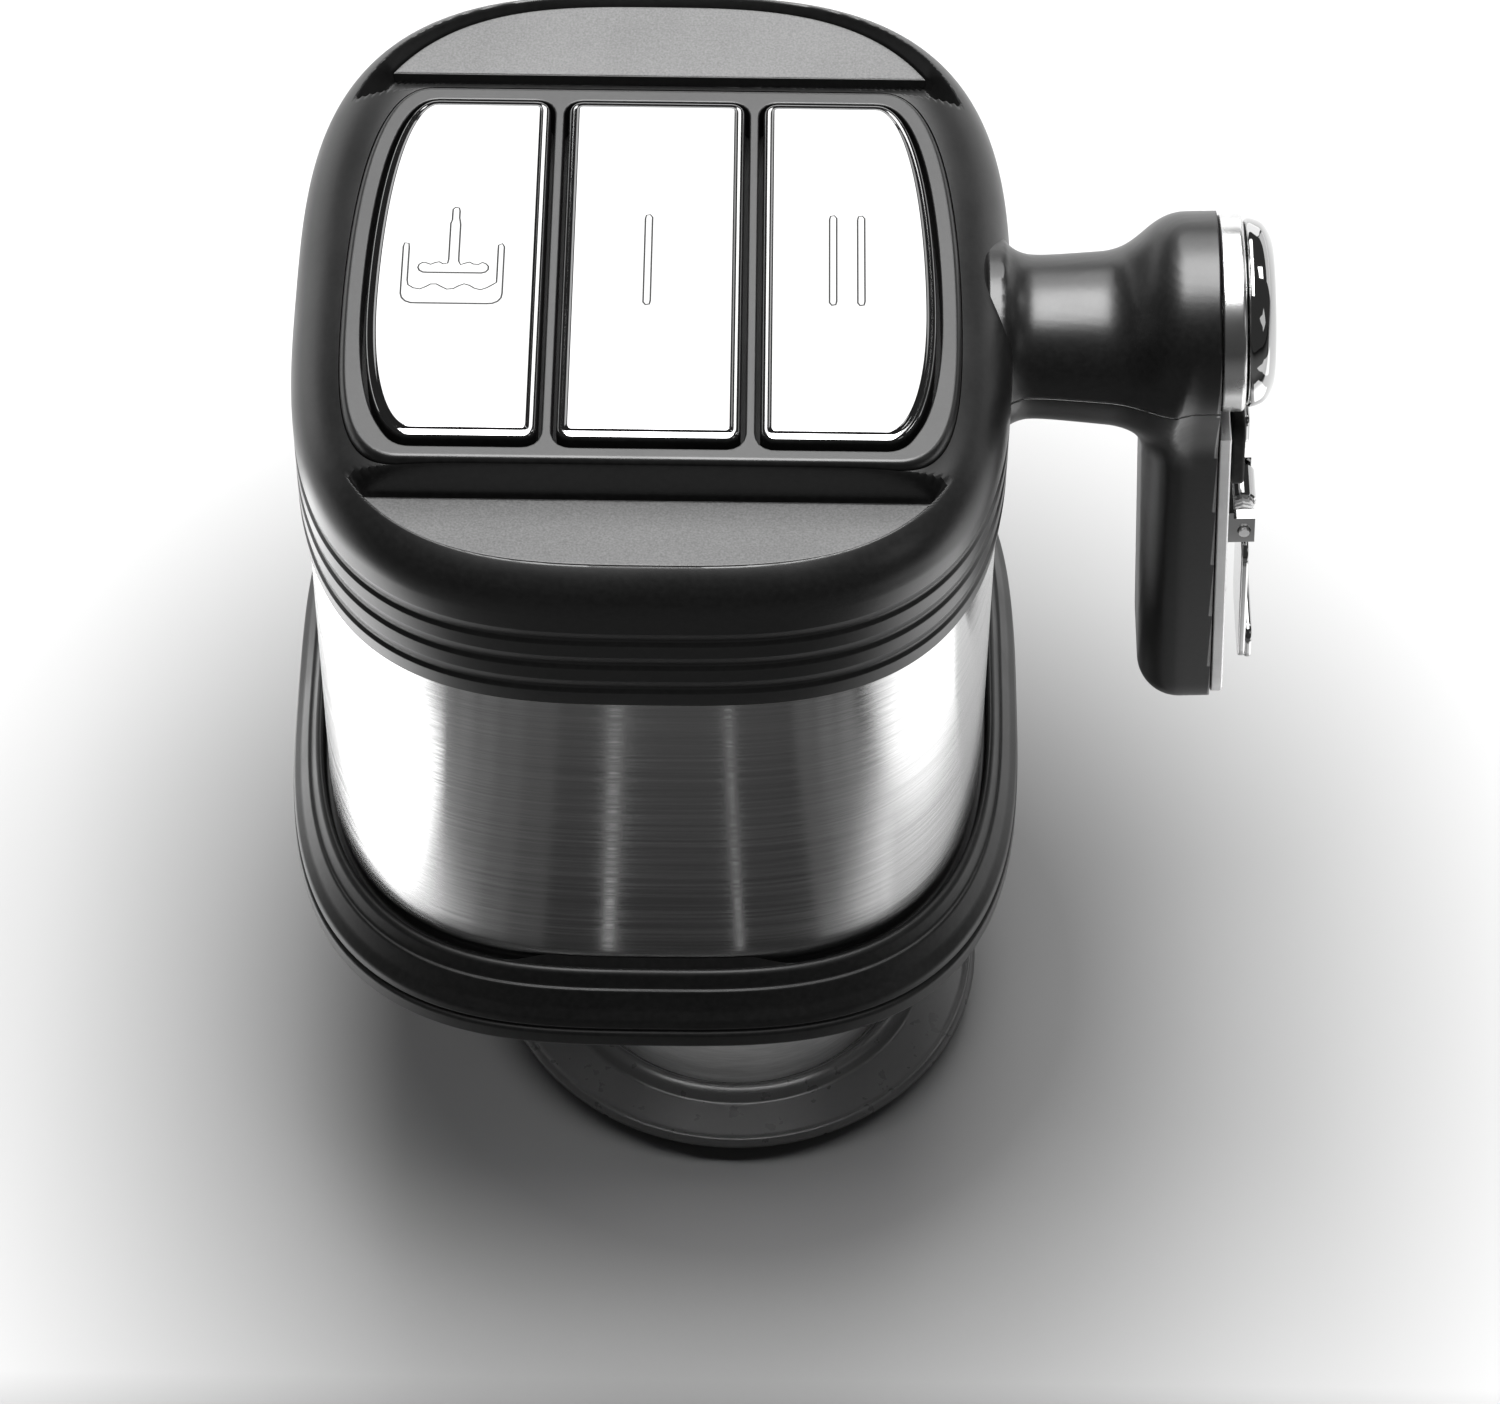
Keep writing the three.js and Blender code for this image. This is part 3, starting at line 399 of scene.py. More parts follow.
def satin_black():
    f = Finish("satin_black", 0.006, 0.36, specular=0.65)
    f.tint(f.noise(900, 3), 0.004, 0.008)
    f.rough(f.noise(60, 4), 0.32, 0.38)
    f.bump(f.noise(3800, 2), 0.00002, 0.35)
    return f.material


def gloss_black():
    f = Finish("gloss_black", 0.03, 0.16, specular=0.5)
    f.tint(f.noise(40, 3), 0.025, 0.04)
    f.rough(f.noise(150, 4), 0.13, 0.22)
    f.bump(f.noise(2500, 2), 0.00001, 0.2)
    return f.material


def grey_inlay():
    f = Finish("grey_inlay", 0.1, 0.42, specular=0.5)
    f.tint(f.noise(2600, 4), 0.07, 0.125)
    f.rough(f.noise(35, 5), 0.36, 0.5)
    f.bump(f.noise(3400, 3), 0.00003, 0.5)
    return f.material


def chrome():
    f = Finish("chrome", 0.52, 0.04, metallic=1.0)
    f.rough(f.noise(45, 5), 0.025, 0.065)
    f.bump(f.noise(25, 1), 0.00003, 0.2)
    return f.material


def key_chrome():
    f = Finish("key_chrome", 0.3, 0.05, metallic=1.0)
    f.rough(f.noise(45, 5), 0.03, 0.08)
    f.bump(f.noise(25, 1), 0.00002, 0.2)
    return f.material


def satin_chrome():
    f = Finish("satin_chrome", 0.75, 0.26, metallic=1.0)
    f.rough(f.noise(90, 4), 0.22, 0.32)
    return f.material


def dull_black():
    f = Finish("dull_black", 0.006, 0.45, specular=0.35)
    f.tint(f.noise(900, 3), 0.004, 0.009)
    f.rough(f.noise(60, 4), 0.4, 0.48)
    f.bump(f.noise(3600, 2), 0.00002, 0.35)
    return f.material


def ring_black():
    f = Finish("ring_black", 0.04, 0.28, specular=0.5)
    f.tint(f.noise(900, 3), 0.038, 0.042)
    f.rough(f.noise(300, 4), 0.27, 0.3)
    return f.material


def sleeve_steel():
    f = Finish("sleeve_steel", 0.55, 0.45, metallic=0.6)
    f.tint(f.noise(1, 4, (200, 200, 1800)), 0.5, 0.62)
    f.rough(f.noise(80, 4), 0.38, 0.5)
    return f.material


# Painted shade for the sloping sides of the keys' raised marks: a near-black finish.
def emboss_painted_shade():
    f = Finish("emboss_painted_shade", 0.01, 0.5, specular=0.3)
    f.rough(f.noise(400, 3), 0.35, 0.45)
    return f.material


def brushed_steel():
    f = Finish("brushed_steel", 0.5, 0.3, metallic=1.0)
    lines = f.noise(1, 3, (16, 16, 3400))
    f.tint(lines, 0.52, 0.66)
    f.rough(f.noise(1, 4, (20, 20, 1500)), 0.11, 0.21)
    f.bump(lines, 0.000012, 0.5)
    f.shader.inputs["Anisotropic"].default_value = 0.75
    f.shader.inputs["Anisotropic Rotation"].default_value = 0.25
    tangent = f.tree.nodes.new("ShaderNodeTangent")
    tangent.direction_type = "RADIAL"
    tangent.axis = "Z"
    f.link(tangent.outputs["Tangent"], f.shader.inputs["Tangent"])
    return f.material


def steel():
    f = Finish("steel", 0.8, 0.5, metallic=1.0)
    f.tint(f.noise(80, 4), 0.74, 0.86)
    f.rough(f.noise(1, 4, (300, 300, 1800)), 0.44, 0.56)
    return f.material


def rubber():
    f = Finish("rubber", 0.015, 0.7, specular=0.3)
    f.tint(f.noise(500, 3), 0.01, 0.022)
    f.rough(f.noise(90, 4), 0.6, 0.8)
    f.bump(f.noise(1800, 3), 0.00004, 0.6)
    return f.material


def board():
    f = Finish("board", (0.02, 0.1, 0.05), 0.45)
    f.tint(f.noise(260, 5), (0.012, 0.075, 0.035), (0.03, 0.14, 0.07))
    f.rough(f.noise(120, 3), 0.35, 0.55)
    f.bump(f.noise(350, 4), 0.00005, 0.5)
    return f.material


def white_plastic():
    f = Finish("white_plastic", 0.7, 0.45)
    f.tint(f.noise(120, 4), 0.62, 0.74)
    f.rough(f.noise(60, 3), 0.38, 0.52)
    return f.material


def winding():
    f = Finish("winding", (0.3, 0.12, 0.05), 0.4)
    f.tint(f.noise(1, 3, (60, 60, 1600)), (0.2, 0.07, 0.025), (0.45, 0.2, 0.09))
    f.bump(f.noise(1, 2, (60, 60, 1600)), 0.0001, 0.8)
    return f.material


def brass():
    f = Finish("brass", (0.6, 0.42, 0.16), 0.3, metallic=1.0)
    f.tint(f.noise(90, 4), (0.5, 0.34, 0.12), (0.68, 0.5, 0.22))
    f.rough(f.noise(140, 4), 0.24, 0.38)
    return f.material


FINISHES = {make_one.__name__: make_one() for make_one in (
    satin_black, gloss_black, grey_inlay, chrome, brushed_steel, steel, rubber, board,
    white_plastic, winding, brass)}
EMBOSS_SHADE = emboss_painted_shade()
KEY_CHROME, SATIN_CHROME = key_chrome(), satin_chrome()
DULL_BLACK, RING_BLACK, SLEEVE_STEEL = dull_black(), ring_black(), sleeve_steel()


# ---- head ----
HEAD_COLUMNS = 480
CAP_ROWS = 170  # across the cap's top, from the key panel to the side
CAP_CEILING = CAP_TOP - 11
BOSS_WALLS = 2.3, 4.5  # inner and outer radius of the bosses that hold the tie rods
SHOULDER_BOTTOM = CAP_TOP - 15
SHOULDER_START = 46  # half width where the top begins to fall away
SHOULDER_RISE = 14.4
SHOULDER_POWER = 2.5
RIB_START, RIB_PITCH, RIB_DEPTH = 4.6, 6.54, 0.4
RIM_WALL = 1.5  # plan widths of the pockets' curved walls, the front pocket's straight one,
FRONT_WALL = 1.9
REAR_WALL = 2.0  # and the channel's one
CHANNEL_START, CHANNEL_FLOOR = 43, 210  # the channel between the key panel and the rear inlay


def shoulder(width):
    t = np.clip((width - SHOULDER_START) / (CAP_W - SHOULDER_START), 0, 1)
    return SHOULDER_BOTTOM + SHOULDER_RISE * (1 - t**SHOULDER_POWER) ** (1 / SHOULDER_POWER)


def pocket_rise(y):
    """How far a pocket's floor has risen on its way from the bridge to the rim."""
    return INLAY_SLOPE * np.maximum(np.abs(y) - POCKET_EDGE_Y, 0)


def cap_height(x, y):
    """Height of the cap outside the key panel: rim, shoulders, two pockets and the rear channel."""
    width = half_width(x, y)
    rim = smooth((width - (POCKET_W - 1.1)) / RIM_WALL)
    start = np.where(y < 0, POCKET_EDGE_Y, CHANNEL_START)
    bridge = smooth((start - np.abs(y)) / np.where(y < 0, FRONT_WALL, REAR_WALL))
    in_channel = (y > 0) & (y < POCKET_EDGE_Y + 0.6)
    floor_z = np.where(in_channel, CHANNEL_FLOOR, POCKET_FLOOR + pocket_rise(y))
    return floor_z + (shoulder(width) - floor_z) * (1 - (1 - rim) * (1 - bridge))


def cap_side():
    """Half width and height down the cap's side, with three narrow ledges, and back up inside."""
    points = []
    for i in (2, 1, 0):
        z = CAP_BOTTOM + RIB_START + i * RIB_PITCH
        ledge = CAP_W - RIB_DEPTH
        points += [(CAP_W, z + 2.6), (ledge, z + 0.6), (ledge, z), (CAP_W, z - 0.8)]
    points += [(CAP_W - 0.3, CAP_BOTTOM), (CAP_W - 3.2, CAP_BOTTOM), (CAP_W - 3.2, SHOULDER_BOTTOM),
               (CAP_W - 6.2, CAP_CEILING)]
    return softened([(CAP_W, SHOULDER_BOTTOM), *points], 0.15, 2, closed=False)


def top_cap():
    """The head's moulding, with a hole for the key panel and four bosses for the tie rods."""
    outer = square_loop(CAP_W, 0, HEAD_COLUMNS)[:, :2] - (HEAD_X, 0)
    outline = inset(resampled(panel_outline(), 1600), -PANEL_OVERHANG - 0.15)
    centre = np.array([0, (PANEL_FRONT + PANEL_BACK) / 2])
    dense = outline - centre
    angle = np.arctan2(dense[:, 1], dense[:, 0])
    order = np.argsort(angle)
    rays = outer - centre
    ray_angle = np.arctan2(rays[:, 1], rays[:, 0])
    reach = np.interp(ray_angle, angle[order], np.linalg.norm(dense, axis=1)[order], period=2 * math.pi)
    inner = centre + rays / np.linalg.norm(rays, axis=1)[:, None] * reach[:, None]
    loops = [level(inner, CAP_CEILING, HEAD_X), level(inner, CAP_TOP - 4, HEAD_X)]
    for t in np.linspace(0, 1, CAP_ROWS)[:-1]:
        at = inner + (outer - inner) * (0.4 * t + 0.6 * smooth(t))  # rows lie closer at both ends
        loops.append(np.column_stack([at[:, 0] + HEAD_X, at[:, 1], cap_height(at[:, 0], at[:, 1])]))
    loops += [square_loop(w, z, HEAD_COLUMNS) for w, z in cap_side()]
    bosses = []
    for rod in range(1, 5):
        (x, y, _), z = np.mean(span(f"tie_rod_{rod}"), axis=0), span(f"tie_rod_{rod}")[1][2]
        bore, wall = BOSS_WALLS
        ring = [(bore, z - 7), (wall, z - 7), (wall, z + 2.5), (bore, z + 2.5)]
        bosses.append(turned(ring, 32, x, y))
    return make("cap_shell", [lofted(loops, wrap=True), *bosses], FINISHES["satin_black"], "body",
                ["top_cap"])


def key_panel():
    """The raised plate round the keys: rounded outer edge, three windows with small rounded edges."""
    outline = inset(resampled(panel_outline(), 480), -PANEL_OVERHANG)
    edge, drop = 1.1, 2.0
    profile = [(0.0, PANEL_BOTTOM), (0.0, PANEL_TOP - drop)]
    for a in np.radians(np.linspace(0, 90, 8)):
        profile.append((edge * (1 - math.cos(a)), PANEL_TOP - drop + drop * math.sin(a)))
    profile.append((edge + 0.2, PANEL_TOP))
    loops = [level(inset(outline, d), z, HEAD_X) for d, z in profile]
    parts = [lofted(loops)]
    tops, bottoms = [loops[-1]], [loops[0]]
    lip = 0.3
    for side in (-1, 0, 1):
        window = inset(resampled(key_outline(side), 240), -KEY_CLEARANCE)
        window[:, 1] -= FRONT_CLEARANCE * smooth((PANEL_FRONT + PANEL_MARGIN + 3 - window[:, 1]) / 3)
        rounds = [(-lip * (1 - math.cos(a)), PANEL_TOP - lip * (1 - math.sin(a)))
                  for a in np.radians(np.linspace(0, 90, 5))]
        profile = [(0.0, PANEL_BOTTOM), *rounds, (-lip - 0.15, PANEL_TOP)]
        loops = [level(inset(window, d), z, HEAD_X) for d, z in profile]
        parts.append(lofted(loops))
        tops.append(loops[-1])
        bottoms.append(loops[0])
    return make("key_bezel", parts, FINISHES["satin_black"], "body", ["key_panel"],
                fills=[tops, bottoms])


KEY_EDGE = [  # in from the outline, below the key's top: a rounded corner, a gentle bevel, a steep step
    (0.0, 2.6), (0.02, 1.5), (0.08, 1.1), (0.2, 0.8), (0.34, 0.6), (0.5, 0.52), (0.85, 0.47),
    (1.2, 0.42), (1.4, 0.38), (1.48, 0.33), (1.8, 0.06), (1.9, 0.01), (2.0, 0.0), (2.4, 0.0)]
SHADED_SIDE_TOP = 0.8  # below this depth a key's side is black: painted shade in the gap round the key
FLAT = 0.995  # a mark's faces that point up less than this are dark: painted shade on the mark's sloping sides


def emboss(outline, height=0.07, edge=0.32):
    """A raised mark on a key's face: a plate whose sloping sides are darker with painted shade."""
    points = resampled(outline, max(48, len(outline)))
    loops = [level(points, KEY_TOP - 0.004, HEAD_X), level(inset(points, edge), KEY_TOP + height, HEAD_X)]
    return lofted(loops, first=True, last=True)


def key(side, name):
    outline = resampled(key_outline(side), 320)
    profile = [(0.0, KEY_TOP - KEY_BOTTOM)] + KEY_EDGE
    loops = [level(inset(outline, d), KEY_TOP - below, HEAD_X) for d, below in profile]
    x, y = (side * (KEY_INNER + KEY_OUTER) / 2, (PANEL_FRONT + PANEL_BACK) / 2)
    stem_bottom = span("key_middle")[0][2]
    stem = turned([(0.01, stem_bottom), (2.6, stem_bottom), (3, stem_bottom + 0.4), (3, KEY_BOTTOM + 1),
                   (0.01, KEY_BOTTOM + 1)], 32, HEAD_X + x, y)
    rim = level(inset(outline, -KEY_RIM), 0)[:, :2]
    flange = lofted([level(rim, KEY_BOTTOM, HEAD_X), level(rim, KEY_BOTTOM + 1.8, HEAD_X)],
                    first=True, last=True)
    body = "key_" + name
    cap = make("key_cap_" + name, [lofted(loops, first=True, last=True), flange, stem], KEY_CHROME, body,
               [body], sharp=30)
    # painted shade: the key's sides below the rounded corner take the black finish
    second_finish(cap, DULL_BLACK, lambda face: face.center.z < (KEY_TOP - SHADED_SIDE_TOP) * MM)
    for i, mark in enumerate(KEY_MARKS[name]()):
        piece = make(f"mark_{name}_{i + 1}", [emboss(mark)], KEY_CHROME, body, sharp=15)
        # painted shade: the mark's sloping sides take the dark finish
        second_finish(piece, EMBOSS_SHADE, lambda face: abs(face.normal.z) < FLAT)


def bar_mark(x, y0, y1, half=0.8):
    return np.vstack([arc(x, y1 - half, half, 0, 180, 13), arc(x, y0 + half, half, 180, 360, 13)])


def vessel_mark():
    """A pot in section: two walls, a bottom and a wavy liquid line."""
    x0, x1, top, bottom, wall = -44.6, -26.3, 0.6, -14.2, 1.4
    waves = [(x, -9.9 + 0.7 * math.cos((x - x1 + wall) * 1.15))
             for x in np.linspace(x1 - wall, x0 + wall, 40)]
    return np.vstack([
        arc(x0 + wall / 2, top - wall / 2, wall / 2, 180, 0, 9),
        np.array(waves[::-1]),
        arc(x1 - wall / 2, top - wall / 2, wall / 2, 180, 0, 9),
        arc(x1 - 2.4, bottom + 2.4, 2.4, 0, -90, 9),
        arc(x0 + 2.4, bottom + 2.4, 2.4, -90, -180, 9),
    ])[::-1]


def stirrer_mark():
    """A rod that ends in a wavy foot."""
    foot = [(x, -4.3 + 0.35 * math.cos((x + 35.4) * 2.3)) for x in np.linspace(-30.2, -34.2, 16)]
    right = [(-34.3, -3.6), (-34.3, 5.5), (-34.55, 5.9)]
    tip = arc(-35.35, 8.5, 0.8, 0, 180, 9)
    left = [(-36.15, 5.9), (-36.4, 5.5), (-36.4, -3.6)]
    mirror = [(-70.75 - x, y) for x, y in foot[::-1]]
    return np.vstack([arc(-30.3, -5.5, 1.4, -90, 80, 9), foot, right, tip, left, mirror,
                      arc(-40.4, -5.5, 1.4, 100, 270, 9)])


KEY_MARKS = {
    "left": lambda: [vessel_mark(), stirrer_mark()],
    "middle": lambda: [bar_mark(-0.9, -14, 8.1)],
    "right": lambda: [bar_mark(32, -13.6, 8.4), bar_mark(37, -13.6, 8.4)],
}


INLAY_EDGE = 0.12  # rounding of the inlays' edges
NEARLY_FLAT = 0.95  # the inlays' faces that point up less than this are black: painted shade on the plate's sides


def pocket_inlay(side, node):
    """A grey half-moon plate lying in a pocket, with painted shade: its sides are black."""
    edge_y = POCKET_EDGE_Y + 0.25
    width = POCKET_W - 0.95
    rim = square_loop(width, 0, 1440)[:, :2] - (HEAD_X, 0)
    kept = rim[rim[:, 1] > edge_y] if side > 0 else rim[rim[:, 1] < -edge_y]
    kept = kept[np.argsort(kept[:, 0] * -side)]
    chord = straight(kept[-1], kept[0], 60)
    loop = resampled(np.vstack([kept, chord[1:]]), 300)

    def place(points, z):
        return level(points, z + pocket_rise(points[:, 1]), HEAD_X)
    shape = edged(loop, CHANNEL_FLOOR + 0.1, INLAY_TOP, INLAY_EDGE, place, 3)
    plate = make("inlay_plate_" + node, [shape], FINISHES["grey_inlay"], "body",
                 ["pocket_inlay_" + node])
    # painted shade: the plate's sides and rounded edges take the black finish
    second_finish(plate, DULL_BLACK, lambda face: face.normal.z < NEARLY_FLAT)


def steel_band():
    z0, z1 = BAND_BOTTOM, BAND_TOP
    profile = softened([(BAND_W - 1.2, z0), (BAND_W, z0), (BAND_W, z1), (BAND_W - 1.2, z1)], 0.3, 3)
    loops = [square_loop(w, z, 320) for w, z in profile]
    return make("band_sleeve", [lofted(loops, wrap=True)], FINISHES["brushed_steel"], "body",
                ["steel_band"])


TAB_HALF = 18.5  # the lip's tab at the front: half its length,
TAB_TAPER = 9  # the length of its slanting ends
TAB_RISE = 1.7  # and how far it rises towards the band


def base_flange():
    """The black skirt: a sloping top with a ridge and a raised lip that is closed to the band in front."""
    w, z, lip, top = FLANGE_W, FLANGE_BOTTOM, BAND_W + 0.9, FLANGE_LIP
    profile = softened([
        (60, z), (w - 1.4, z), (w, z + 1.4), (w, z + 5), (w - 0.8, z + 5.5), (w - 0.8, z + 6.1),
        (w - 0.2, z + 6.6), (w - 0.4, z + 8.4), (w - 1.8, z + 10.4), (lip + 3.1, top - 3.2),
        (lip + 2.6, top - 3.2), (lip + 1.5, top - 0.5), (lip + 0.7, top), (lip, top - 0.5), (lip, z + 13),
        (60, z + 13)], 0.55, 4)
    angle = plan_angles(HEAD_COLUMNS)
    loops = []
    for width, height in profile:
        loop = square_loop(width, height, HEAD_COLUMNS)
        x = loop[:, 0] - HEAD_X
        tab = smooth((TAB_HALF + TAB_TAPER - np.abs(x)) / TAB_TAPER) * (np.sin(angle) < 0)
        near_lip = abs(width - lip) < 0.35 and height > z + 13.5
        if near_lip:
            loop = square_loop(width - (width - BAND_W - 0.15) * tab, height + TAB_RISE * tab, HEAD_COLUMNS)
        loops.append(loop)
    return make("flange_skirt", [lofted(loops, wrap=True)], DULL_BLACK, "body",
                ["base_flange"])


# ---- foot and sleeve ----
def foot_ring():
    r, top = SLEEVE_RADIUS, FOOT_TOP - 0.8
    plate_r = middle_and_half("foot_plate", 1)[1] + 0.3
    plate_z = span("foot_plate")[1][2] + 0.3
    profile = softened([
        (r + 0.3, plate_z), (plate_r, plate_z), (plate_r, 0.6), (plate_r + 2.7, 0.6),
        (FOOT_RADIUS - 0.6, top - 3.4), (FOOT_RADIUS, top - 2.2), (FOOT_RADIUS - 1.2, top - 0.7),
        (FOOT_RADIUS - 2.2, top - 1.4), (r + 6.2, top - 1.8), (r + 4.8, top), (r + 3.4, top + 0.8),
        (r + 2.2, top), (r + 1.5, top - 2.4), (r + 0.3, top - 2.4)], 0.6, 4)
    return make("foot_bezel", [turned(profile, 160)], RING_BLACK, "body",
                ["foot_ring"])


def foot_plate():
    radius, top = middle_and_half("foot_plate", 1)[1], span("foot_plate")[1][2]
    profile = [(0.01, 0), *softened([(radius - 1, 0), (radius, 1), (radius, top)], 0.4, 3, False),
               (0.01, top)]
    return make("foot_pad", [turned(profile, 128, wrap=False)], FINISHES["rubber"], "body",
                ["foot_plate"])


OUTLET_HEIGHTS, INLET_HEIGHTS = (14, 30), (34, 52)


def immersion_sleeve():
    """A thin steel tube with a ring of inlet slots, and outlets at the back, cut clean through."""
    low, high = span("immersion_sleeve")
    columns, wall = 360, 0.8  # one column for each degree
    levels = [low[2], *OUTLET_HEIGHTS, *INLET_HEIGHTS, high[2]]

    def is_open(row, column):
        if row == 1:
            return any(abs(column + 0.5 - at) < 2.2 for at in range(160, 201, 10))
        if row == 3:
            return (column % 36) in range(15, 21)
        return False

    vertices, faces = [], []
    for radius in (SLEEVE_RADIUS, SLEEVE_RADIUS - wall):
        for z in levels:
            vertices.append(round_loop(radius, z, columns))
    layer = len(levels) * columns
    for row in range(len(levels) - 1):
        for column in range(columns):
            nxt = (column + 1) % columns
            a, b = row * columns, (row + 1) * columns
            if is_open(row, column):
                if not is_open(row, nxt):
                    faces.append((a + nxt, b + nxt, layer + b + nxt, layer + a + nxt))
                if not is_open(row, column - 1):
                    faces.append((a + column, b + column, layer + b + column, layer + a + column))
                for edge in (a, b):
                    faces.append((edge + column, edge + nxt, layer + edge + nxt, layer + edge + column))
                continue
            for base in (0, layer):
                faces.append((base + a + column, base + a + nxt, base + b + nxt, base + b + column))
    for edge in (0, (len(levels) - 1) * columns):
        faces += [(edge + c, edge + (c + 1) % columns, layer + edge + (c + 1) % columns, layer + edge + c)
                  for c in range(columns)]
    return make("sleeve_tube", [(np.vstack(vertices), faces)], SLEEVE_STEEL, "body",
                ["immersion_sleeve"])


# ---- arm ----
NECK_WAIST = 1.1  # how much thinner the neck is beside the head
NECK_BURIED = 10  # how deep in the hub the neck ends
ARM_EDGE = 8.0  # rounding of the bar's and hub's inner edges
BAR_CORNER = 9
HUB_BLEND, NECK_BLEND = 9.0, 7.5  # how softly the hub flows into the bar, and the neck into both
BEYOND_FACE = 20  # the field runs on past the outer face, where arm_shells() cuts it


def arm_field(p):
    """Signed distance to the arm's outside: a flared round neck that flows into the hanging bar."""
    local = (p - np.array(HUB)) @ np.array([ARM_X, (0, 1, 0), ARM_Z]).T
    x, y, z = local[:, 0], local[:, 1], local[:, 2]
    hub = np.hypot(y, z) - (HUB_RADIUS - 0.2)
    bar = rounded_corner(np.abs(y) - BAR_HALF, np.abs(z + ARM_LENGTH / 2) - ARM_LENGTH / 2, BAR_CORNER)
    half_depth = (ARM_THICKNESS + BEYOND_FACE) / 2
    slab = rounded_corner(blended(hub, bar, HUB_BLEND),
                          np.abs(x - BEYOND_FACE + half_depth) - half_depth, ARM_EDGE)
    from_head = p[:, 0] - HEAD_X - CAP_W
    root = 3.2 * np.exp(-np.maximum(from_head + 1.5, 0) / 2.2)
    flare = root - NECK_WAIST + 0.085 * np.clip(from_head - 3, 0, 30)
    neck = np.hypot(p[:, 1], p[:, 2] - PARTING_Z) - (NECK_RADIUS + flare)
    neck = np.maximum(neck, p[:, 0] - (HUB[0] - NECK_BURIED))
    return blended(slab, neck, NECK_BLEND)


def rounded_corner(a, b, radius):
    """Distance to the space where both distances are below zero, with its corner rounded."""
    a, b = a + radius, b + radius
    return np.hypot(np.maximum(a, 0), np.maximum(b, 0)) + np.minimum(np.maximum(a, b), 0) - radius


def blended(a, b, radius):
    """The nearer of two distances, with a fillet where the two surfaces meet."""
    h = np.maximum(radius - np.abs(a - b), 0) / radius
    return np.minimum(a, b) - h * h * radius / 4


def surface_of(field, low, high, step):
    """The zero surface of a field as quads, one vertex for each grid cell that the surface crosses."""
    axes = [np.arange(a, b + step, step) for a, b in zip(low, high)]
    shape = tuple(len(a) for a in axes)
    grid = np.stack(np.meshgrid(*axes, indexing="ij"), -1).reshape(-1, 3)
    values = field(grid).reshape(shape)
    inside = values < 0
    cells = tuple(n - 1 for n in shape)
    corner = [(i, j, k) for i in (0, 1) for j in (0, 1) for k in (0, 1)]
    count = sum(inside[i:i + cells[0], j:j + cells[1], k:k + cells[2]].astype(int) for i, j, k in corner)
    active = (count > 0) & (count < 8)
    number = -np.ones(cells, int)
    number[active] = np.arange(active.sum())
    where = np.argwhere(active)
    total, hits = np.zeros((len(where), 3)), np.zeros(len(where))
    for a in corner:
        for axis in range(3):
            if a[axis]:
                continue
            b = tuple(v + (k == axis) for k, v in enumerate(a))
            va = values[tuple((where + a).T)]
            vb = values[tuple((where + b).T)]
            crossing = (va < 0) != (vb < 0)
            t = np.where(crossing, va / np.where(crossing, va - vb, 1), 0)
            point = where + np.array(a) + t[:, None] * (np.array(b) - np.array(a))
            total[crossing] += point[crossing]
            hits += crossing
    vertices = np.array(low) + total / hits[:, None] * step
    for _ in range(4):
        vertices = vertices - step_to_surface(field, vertices)
    faces = []
    for axis in range(3):
        u, v = (axis + 1) % 3, (axis + 2) % 3
        first = [slice(1, -1)] * 3
        first[axis] = slice(0, -1)
        second = list(first)
        second[axis] = slice(1, None)
        differs = inside[tuple(first)] != inside[tuple(second)]
        for at in np.argwhere(differs):
            base = at + np.array([int(k != axis) for k in range(3)])
            ring = []
            for du, dv in ((0, 0), (-1, 0), (-1, -1), (0, -1)):
                cell = base.copy()
                cell[u] += du
                cell[v] += dv
                ring.append(number[tuple(cell)])
            faces.append(tuple(ring) if inside[tuple(base)] else tuple(ring[::-1]))
    return vertices, faces


def step_to_surface(field, points, probe=0.05):
    value = field(points)
    slope = np.stack([(field(points + d) - field(points - d)) / (2 * probe) for d in np.eye(3) * probe], 1)
    size = np.maximum((slope**2).sum(1), 0.2)
    return slope * (value / size)[:, None]


def clipped(bm, point, normal):
    """Removes what lies on the normal's side of a plane, and leaves the cut open."""
    bmesh.ops.bisect_plane(bm, geom=bm.verts[:] + bm.edges[:] + bm.faces[:], plane_co=Vector(point) * MM,
                           plane_no=normal, clear_outer=True, dist=1e-7)


def arm_shells():
    low = (HEAD_X + CAP_W - 7, -24, HUB[2] - ARM_LENGTH - 4)
    high = (HUB[0] + 6, 24, HUB[2] + HUB_RADIUS + 4)
    surface = surface_of(arm_field, low, high, 0.8)
    for name, parting, node in (("arm_shell_upper", -1, "arm_upper_shell"),
                                ("arm_shell_lower", 1, "arm_lower_shell")):
        piece = make(name, [surface], FINISHES["satin_black"], "body", [node], sharp=60)
        bm = bmesh.new()
        bm.from_mesh(piece.data)
        clipped(bm, HUB, ARM_X)
        clipped(bm, (HEAD_X + CAP_W - 5, 0, 0), (-1, 0, 0))
        clipped(bm, (0, 0, PARTING_Z - parting * 0.07), (0, 0, parting))
        bm.to_mesh(piece.data)
        bm.free()
        piece.modifiers.clear()
        wall = piece.modifiers.new("wall", "SOLIDIFY")
        wall.thickness = 2.0 * MM
        wall.offset = -1
        piece.modifiers.new("normals", "WEIGHTED_NORMAL").keep_sharp = True


def arm_outline(inset_by):
    """Outline of the hub and bar on the arm's outer face."""
    r, w = HUB_RADIUS - inset_by, BAR_HALF - inset_by
    end, corner = -(ARM_LENGTH - inset_by), 9 - inset_by
    left = bezier((-r * math.cos(0.56), -r * math.sin(0.56)), (-w, -22), (-w, -26), (-w, -34), 10)
    return np.vstack([
        arc(0, 0, r, -32, 212, 40), left,
        arc(-w + corner, end + corner, corner, 180, 270, 12),
        arc(w - corner, end + corner, corner, 270, 360, 12),
        (left * (-1, 1))[::-1],
    ])


